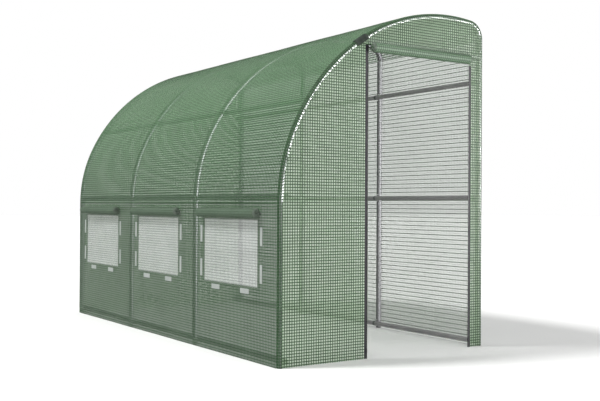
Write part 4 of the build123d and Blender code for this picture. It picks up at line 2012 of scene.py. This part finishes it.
@dataclass
class HookTapes:
    """The pale hook tapes that hold the flaps down over the windows."""

    corner: float = 0.003
    corner_steps: int = 5
    thickness: float = 0.0013
    lift: float = 0.0004
    profile: tuple[tuple[float, float], ...] = (
        (1.0, 0.0002),
        (1.0, 0.7),
        (0.985, 1.0),
        (0.8, 1.06),
        (0.5, 1.0),
        (0.02, 1.0),
    )
    seam_inset: float = 0.003
    seam_rise: float = 1.05
    seam_steps: int = 120
    seam: Stitch = Stitch(0.0030, 0.0014, 0.0007)

    def build(self) -> None:
        """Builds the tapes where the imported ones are."""
        shell, stitches = Shell(), Shell()
        for low, high in self.islands(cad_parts["window_tapes"].data):
            self.add_tape(shell, stitches, low, high)
        shell.piece(
            "window_hook_tapes", PALE_TAPE, Slot.HOOK_TAPE, "window_tapes", sharp_angle=50.0
        )
        stitches.piece("window_tape_stitches", SEAM_THREAD, Slot.HOOK_TAPE)

    def islands(self, mesh: bpy.types.Mesh) -> list[tuple[np.ndarray, np.ndarray]]:
        """Tells the separate tapes in a mesh apart, by passing labels from face to face.

        Args:
            mesh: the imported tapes.

        Returns:
            Lowest and highest corner of each tape.
        """
        points = np.array([vertex.co[:] for vertex in mesh.vertices])
        weld = np.unique(np.round(points, 5), axis=0, return_inverse=True)[1].ravel()
        faces = [weld[list(face.vertices)] for face in mesh.polygons]
        label, before = np.arange(len(points)), np.zeros(len(points))
        while (label != before).any():
            before = label.copy()
            for face in faces:
                label[face] = label[face].min()
        tapes = [points[label[weld] == tape] for tape in dict.fromkeys(label[weld].tolist())]
        return [(tape.min(axis=0), tape.max(axis=0)) for tape in tapes]

    def add_tape(self, shell: Shell, stitches: Shell, low: np.ndarray, high: np.ndarray) -> None:
        """Adds one tape with soft corners and a row of stitches round it.

        Args:
            shell: where the tape goes.
            stitches: where its stitches go.
            low: the tape's lowest corner.
            high: its highest corner.
        """
        middle_x, middle_z = (low[0] + high[0]) / 2, (low[2] + high[2]) / 2
        half_x, half_z = (high[0] - low[0]) / 2, (high[2] - low[2]) / 2
        ring = []
        for quarter, (sign_x, sign_z) in enumerate(((1, 1), (-1, 1), (-1, -1), (1, -1))):
            corner = np.array([sign_x * (half_x - self.corner), sign_z * (half_z - self.corner)])
            for turn in np.linspace(0, pi / 2, self.corner_steps) + quarter * pi / 2:
                ring.append(corner + self.corner * np.array([cos(turn), sin(turn)]))
        ring = np.array(ring)
        layers = []
        for scale, lift in self.profile:
            x = middle_x + ring[:, 0] * scale
            run = middle_z + ring[:, 1] * scale - OUTLINE.hem_z
            layers.append(on_cover(x, run, self.thickness * lift + self.lift)[0])
        shell.grid(np.array(layers), wrap=True)
        closed = np.concatenate([ring, ring[:1]])
        places = np.linspace(0, len(ring), self.seam_steps)
        x, z = (np.interp(places, np.arange(len(closed)), closed[:, axis]) for axis in (0, 1))
        x = middle_x + x * (1 - self.seam_inset / half_x)
        run = middle_z + z * (1 - self.seam_inset / half_z) - OUTLINE.hem_z
        lift = self.thickness * self.seam_rise + self.lift
        self.seam.sew(stitches, *on_cover(x, run, lift))


# ---- doorway
@dataclass
class ZipStrip:
    """One side of the doorway's zip: cloth tape, teeth along the free edge and a slider."""

    node: str
    step: float
    section: tuple[tuple[float, float], ...] = (
        (0.06, 0.0009),
        (0.12, 0.0013),
        (0.3, 0.0013),
        (0.31, 0.0010),
        (0.6, 0.0010),
        (0.96, 0.0010),
        (1.0, 0.0008),
        (1.0, 0.0001),
    )
    rows: int = 60
    ripple: float = 0.0002
    seam_places: tuple[float, float] = (0.62, 0.86)
    seam_rows: int = 120
    seam_lift: float = 0.0011
    seam: Stitch = Stitch(0.0036, 0.0018, 0.0008)
    tooth_pitch: float = 0.0030
    tooth_lift: float = 0.0009
    tooth_margin: float = 0.002
    tooth_taper: float = 0.6
    teeth: tuple[tuple[float, float, float, float], ...] = (
        (0.0, 0.75, 0.0010, 0.0015),
        (-0.12, 0.25, 0.0014, 0.0013),
    )
    chain: float = 0.006
    slider_height: float = 0.05
    slider_lift: float = 0.0012
    slider_inset: float = 0.004
    slider_layers: tuple[tuple[float, float], ...] = ((0.0, 1.0), (0.0024, 1.0), (0.0030, 0.86))
    slider: tuple[tuple[float, float], ...] = (
        (0.0, 0.0035),
        (0.003, 0.0048),
        (0.010, 0.0050),
        (0.016, 0.0040),
        (0.018, 0.0028),
    )
    pull_height: float = 0.012
    pull_depths: tuple[float, float] = (0.0046, 0.0058)
    pull: tuple[tuple[float, float], ...] = (
        (0.0, 0.0025),
        (-0.004, 0.0035),
        (-0.026, 0.0035),
        (-0.030, 0.0022),
    )

    def build(self) -> None:
        """Builds the strip, whose step is the direction in y from its free edge to its seam."""
        low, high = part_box(self.node)
        free, width = (low.y if self.step > 0 else high.y), high.y - low.y
        z = np.linspace(low.z, high.z, self.rows)[:, None]
        shares, lifts = np.array(self.section).T[:, None, :]
        wave = self.ripple * np.sin(z * 31.0) * (shares > 0.5)
        y = free + self.step * shares * width
        tape = Shell()
        tape.grid(np.stack(np.broadcast_arrays(low.x + lifts + wave, y, z), -1))
        tape.piece(f"{self.node}_tape", ZIP_CLOTH, Slot.ZIP, self.node, sharp_angle=60.0)
        self.build_teeth(low, high, free)
        self.build_slider(low, free)
        stitches = Shell()
        seam_z = np.linspace(low.z, high.z, self.seam_rows)
        for share in self.seam_places:
            place = low.x + self.seam_lift, free + self.step * share * width
            path = np.column_stack([np.full((len(seam_z), 2), place), seam_z])
            self.seam.sew(stitches, path, np.broadcast_to(np.array([1.0, 0.0, 0.0]), path.shape))
        stitches.piece(f"{self.node}_stitches", ZIP_CLOTH, Slot.ZIP)

    def build_teeth(self, low: Vector, high: Vector, free: float) -> None:
        """Builds the teeth, each a slim body with a wider head at the free edge.

        Args:
            low: the strip's lowest corner.
            high: its highest corner.
            free: y of the strip's free edge.
        """
        shell = Shell()
        base, reach = low.x + self.tooth_lift, self.step * self.chain
        bottom, top = low.z + self.tooth_margin, high.z - self.tooth_margin
        for z in np.arange(bottom, top, self.tooth_pitch):
            for start, end, half, rise in self.teeth:
                near, far = min(max(free + reach * start, low.y), high.y), free + reach * end
                slim = half * self.tooth_taper
                ring = [(near, z - half), (near, z + half), (far, z + slim), (far, z - slim)]
                rings = np.array([[(x, *spot) for spot in ring] for x in (base, base + rise)])
                shell.grid(rings, wrap=True)
                shell.ring_cap(rings[1])
        shell.piece(f"{self.node}_teeth", ZIP_PLASTIC, Slot.ZIP, sharp_angle=30.0)

    def build_slider(self, low: Vector, free: float) -> None:
        """Builds the slider with its pull, parked at the foot of the zip.

        Args:
            low: the strip's lowest corner.
            free: y of the strip's free edge.
        """
        middle_y = free + self.step * self.slider_inset
        base_z = low.z + self.slider_height

        def ring(
            profile: Sequence[tuple[float, float]], x: float, z: float, size: float
        ) -> list[tuple[float, float, float]]:
            """Goes round a shape that is the same on both sides.

            Args:
                profile: heights and half widths.
                x: how far out the ring lies.
                z: the height that the profile starts from.
                size: the share of the widths that is kept.

            Returns:
                The ring's points.
            """
            right = [(x, middle_y + half * size, z + up) for up, half in profile]
            left = [(x, middle_y - half * size, z + up) for up, half in reversed(profile)]
            return right + left

        base_x = low.x + self.slider_lift
        layers = self.slider_layers
        body = np.array([ring(self.slider, base_x + out, base_z, size) for out, size in layers])
        pull_z = base_z + self.pull_height
        pull = np.array([ring(self.pull, low.x + depth, pull_z, 1.0) for depth in self.pull_depths])
        shell = Shell()
        shell.grid(body, wrap=True)
        shell.ring_cap(body[-1])
        shell.grid(pull, wrap=True)
        shell.ring_cap(pull[0][::-1])
        shell.ring_cap(pull[1])
        shell.piece(f"{self.node}_slider", ZIP_PLASTIC, Slot.ZIP, sharp_angle=30.0)


@dataclass
class Doorway:
    """The rolled door and the zips beside the opening."""

    roll_length: float = 1.85
    roll_pitch: float = 0.0019

    def build(self) -> None:
        """Builds the zips and the roll."""
        ZipStrip("door_zip_front", -1.0).build()
        ZipStrip("door_zip_back", 1.0).build()
        name, node = "door_rolled_film", "door_roll"
        size = self.roll_length, self.roll_pitch
        RolledSheet(name, node, *size, DOOR_ROLL_FILM, Lie.ACROSS_TUNNEL, *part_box(node)).build()


# ---- whole cover
@dataclass
class Cover:
    """Every sheet of the cover."""

    windows: tuple[int, ...] = (1, 2, 3)

    def build(self) -> None:
        """Builds the sheets and the windows in them."""
        windows = [Window(number) for number in self.windows]
        holes = [window.opening for window in windows]
        _, front, _, _, corner, back = OUTLINE.stops
        for sheet in (
            CoverSheet("front_cover", "front_film", 0.0, front, FRONT_FILM, GREEN_GRID, holes),
            CoverSheet("roof_cover", "roof_film", front, corner, GREEN_FILM, GREEN_GRID),
            CoverSheet(
                "back_cover", "back_film", corner, back, BACK_FILM, BACK_GRID, slot=Slot.CLEAR_FILM
            ),
        ):
            sheet.build()
        for window in windows:
            window.build()
        HookTapes().build()
        self.build_ends()

    def build_ends(self) -> None:
        """Builds the end panels and the film wrapped round the end hoops."""
        axis_low = OUTLINE.front_y + OUTLINE.hoop_inset
        axis_high = OUTLINE.back_y - OUTLINE.hoop_inset
        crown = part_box("door_end_top_film")[1].z
        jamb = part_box("door_end_front_film")[1]
        door_x, door_y, head = jamb.x, jamb.y, jamb.z
        back_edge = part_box("door_end_back_film")[0].y
        far_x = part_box("far_end_film")[0].x
        top_low = float(OUTLINE.front_at(np.array(head), OUTLINE.hoop_inset))
        hem = OUTLINE.hem_z
        for node, x, outward, low_y, high_y, low_z, high_z in (
            ("door_end_front_film", door_x, 1.0, axis_low, door_y, hem, head),
            ("door_end_back_film", door_x, 1.0, back_edge, axis_high, hem, head),
            ("far_end_film", far_x, -1.0, axis_low, axis_high, hem, crown),
            ("door_end_top_film", door_x, 1.0, top_low, axis_high, head, crown),
        ):
            name = node.replace("film", "panel")
            EndSheet(name, node, x, outward, low_y, high_y, low_z, high_z).build()
        CornerWrap("door_end_wrap", "door_end_corner_film", BAYS.last_x, 1.0).build()
        CornerWrap("far_end_wrap", "far_end_corner_film", BAYS.first_x, -1.0).build()


# ---- studio
class LampKind(Enum):
    """How a lamp shines."""

    SUN = "SUN"
    PANEL = "AREA"


@dataclass(frozen=True)
class Lamp:
    """A lamp that points at a place; one that gleams shows only in what is glossy.

    A sun's spread is its angle, and a panel's is its width and height.
    """

    name: str
    kind: LampKind
    place: tuple[float, float, float]
    aim: tuple[float, float, float]
    energy: float
    spread: tuple[float, ...]
    gleam: bool = True

    def hang(self) -> None:
        """Adds the lamp to the scene."""
        data = bpy.data.lights.new(self.name, self.kind.value)
        data.energy = self.energy
        if self.kind is LampKind.SUN:
            data.angle = self.spread[0]
        else:
            data.shape = "RECTANGLE"
            data.size, data.size_y = self.spread
        lamp = bpy.data.objects.new(self.name, data)
        lamp.location = self.place
        turn = (Vector(self.aim) - Vector(self.place)).to_track_quat("-Z", "Y")
        lamp.rotation_euler = turn.to_euler()
        lamp.visible_diffuse = not self.gleam
        bpy.context.scene.collection.objects.link(lamp)


MIDDLE = (0.0, 0.0, 1.0)
SUN, PANEL = LampKind.SUN, LampKind.PANEL
LAMPS = (
    Lamp("key_lamp", SUN, (-2.4, -4.96, 8.6), MIDDLE, 2.6, (radians(12),), gleam=False),
    Lamp("fill_lamp", SUN, (7.6, 2.88, 2.76), MIDDLE, 1.5, (radians(60),), gleam=False),
    Lamp("hoop_lamp", SUN, (7.12, 3.6, 1.64), MIDDLE, 4.0, (radians(10),)),
    Lamp("door_lamp", PANEL, (4.3, 2.0, 1.85), (1.4, -0.2, 1.7), 720.0, (1.3, 1.1)),
    Lamp("leg_lamp", PANEL, (4.4, -2.3, 1.0), (1.47, 0.7, 1.0), 220.0, (0.3, 1.6)),
    Lamp("crown_lamp", PANEL, (3.8, 3.0, 1.2), (1.47, 0.1, 1.9), 820.0, (1.2, 0.9)),
)


@dataclass
class Studio:
    """Camera, lamps, floor and backdrop."""

    eye: tuple[float, float, float] = (5.580, -3.375, 0.888)
    forward: tuple[float, float, float] = (-0.82826, 0.56031, 0.00566)
    right: tuple[float, float, float] = (0.56034, 0.82824, 0.00552)
    up: tuple[float, float, float] = (0.00159, -0.00774, 0.99997)
    lens: float = 53.76
    sensor: float = 36.0
    lamps: tuple[Lamp, ...] = LAMPS
    light_bounces: int = 40
    sky: float = 0.42
    white: Colour = (1.0, 1.0, 1.0)
    floor_dark: Colour = (0.82, 0.82, 0.815)
    floor_light: Colour = (0.85, 0.85, 0.845)
    floor_glow: float = 0.16
    floor_reach: float = 60.0

    def build(self) -> None:
        """Builds the studio."""
        self.build_camera()
        for lamp in self.lamps:
            lamp.hang()
        self.build_floor()
        self.build_backdrop()
        scene = bpy.context.scene
        scene.view_settings.view_transform = "Standard"
        scene.cycles.transparent_max_bounces = self.light_bounces

    def build_camera(self) -> None:
        """Places the camera."""
        data = bpy.data.cameras.new("camera")
        data.lens = self.lens
        data.sensor_width = self.sensor
        camera = bpy.data.objects.new("camera", data)
        turn = Matrix([self.right, self.up, [-share for share in self.forward]]).transposed()
        camera.matrix_world = Matrix.Translation(self.eye) @ turn.to_4x4()
        bpy.context.scene.collection.objects.link(camera)
        bpy.context.scene.camera = camera

    def build_floor(self) -> None:
        """Lays the floor."""
        mesh = bpy.data.meshes.new("floor")
        far = self.floor_reach
        mesh.from_pydata(
            [(-far, -far, 0), (far, -far, 0), (far, far, 0), (-far, far, 0)], [], [(0, 1, 2, 3)]
        )
        floor = bpy.data.objects.new("floor", mesh)
        bpy.context.scene.collection.objects.link(floor)
        graph = Graph.of_material("pale_floor")
        seen = graph.seen()
        speckle = graph.noise(30.0, 4.0)
        base = graph.blend(speckle, self.floor_dark, self.floor_light)
        matt = graph.node("ShaderNodeBsdfDiffuse", inputs={"Color": base})
        glow = graph.node(
            "ShaderNodeEmission", inputs={"Color": self.white, "Strength": seen * self.floor_glow}
        )
        both = graph.node("ShaderNodeAddShader", inputs={0: matt, 1: glow})
        mesh.materials.append(graph.finish(both))

    def build_backdrop(self) -> None:
        """Makes the plain surroundings, white to the eye and softer as light."""
        world = bpy.data.worlds.new("studio")
        bpy.context.scene.world = world
        graph = Graph(world)
        seen = graph.seen()
        strength = self.sky + seen * (1.0 - self.sky)
        back = graph.node(
            "ShaderNodeBackground", inputs={"Color": self.white, "Strength": strength}
        )
        graph.node("ShaderNodeOutputWorld", inputs={"Surface": back})


def main() -> None:
    """Builds the studio and dresses the tunnel."""
    logging.basicConfig(level=logging.INFO, format="%(message)s")
    Studio().build()
    HoopFrame().build()
    Rails().build()
    DoorHeader().build()
    Cover().build()
    Doorway().build()


if __name__ == "__main__":
    main()
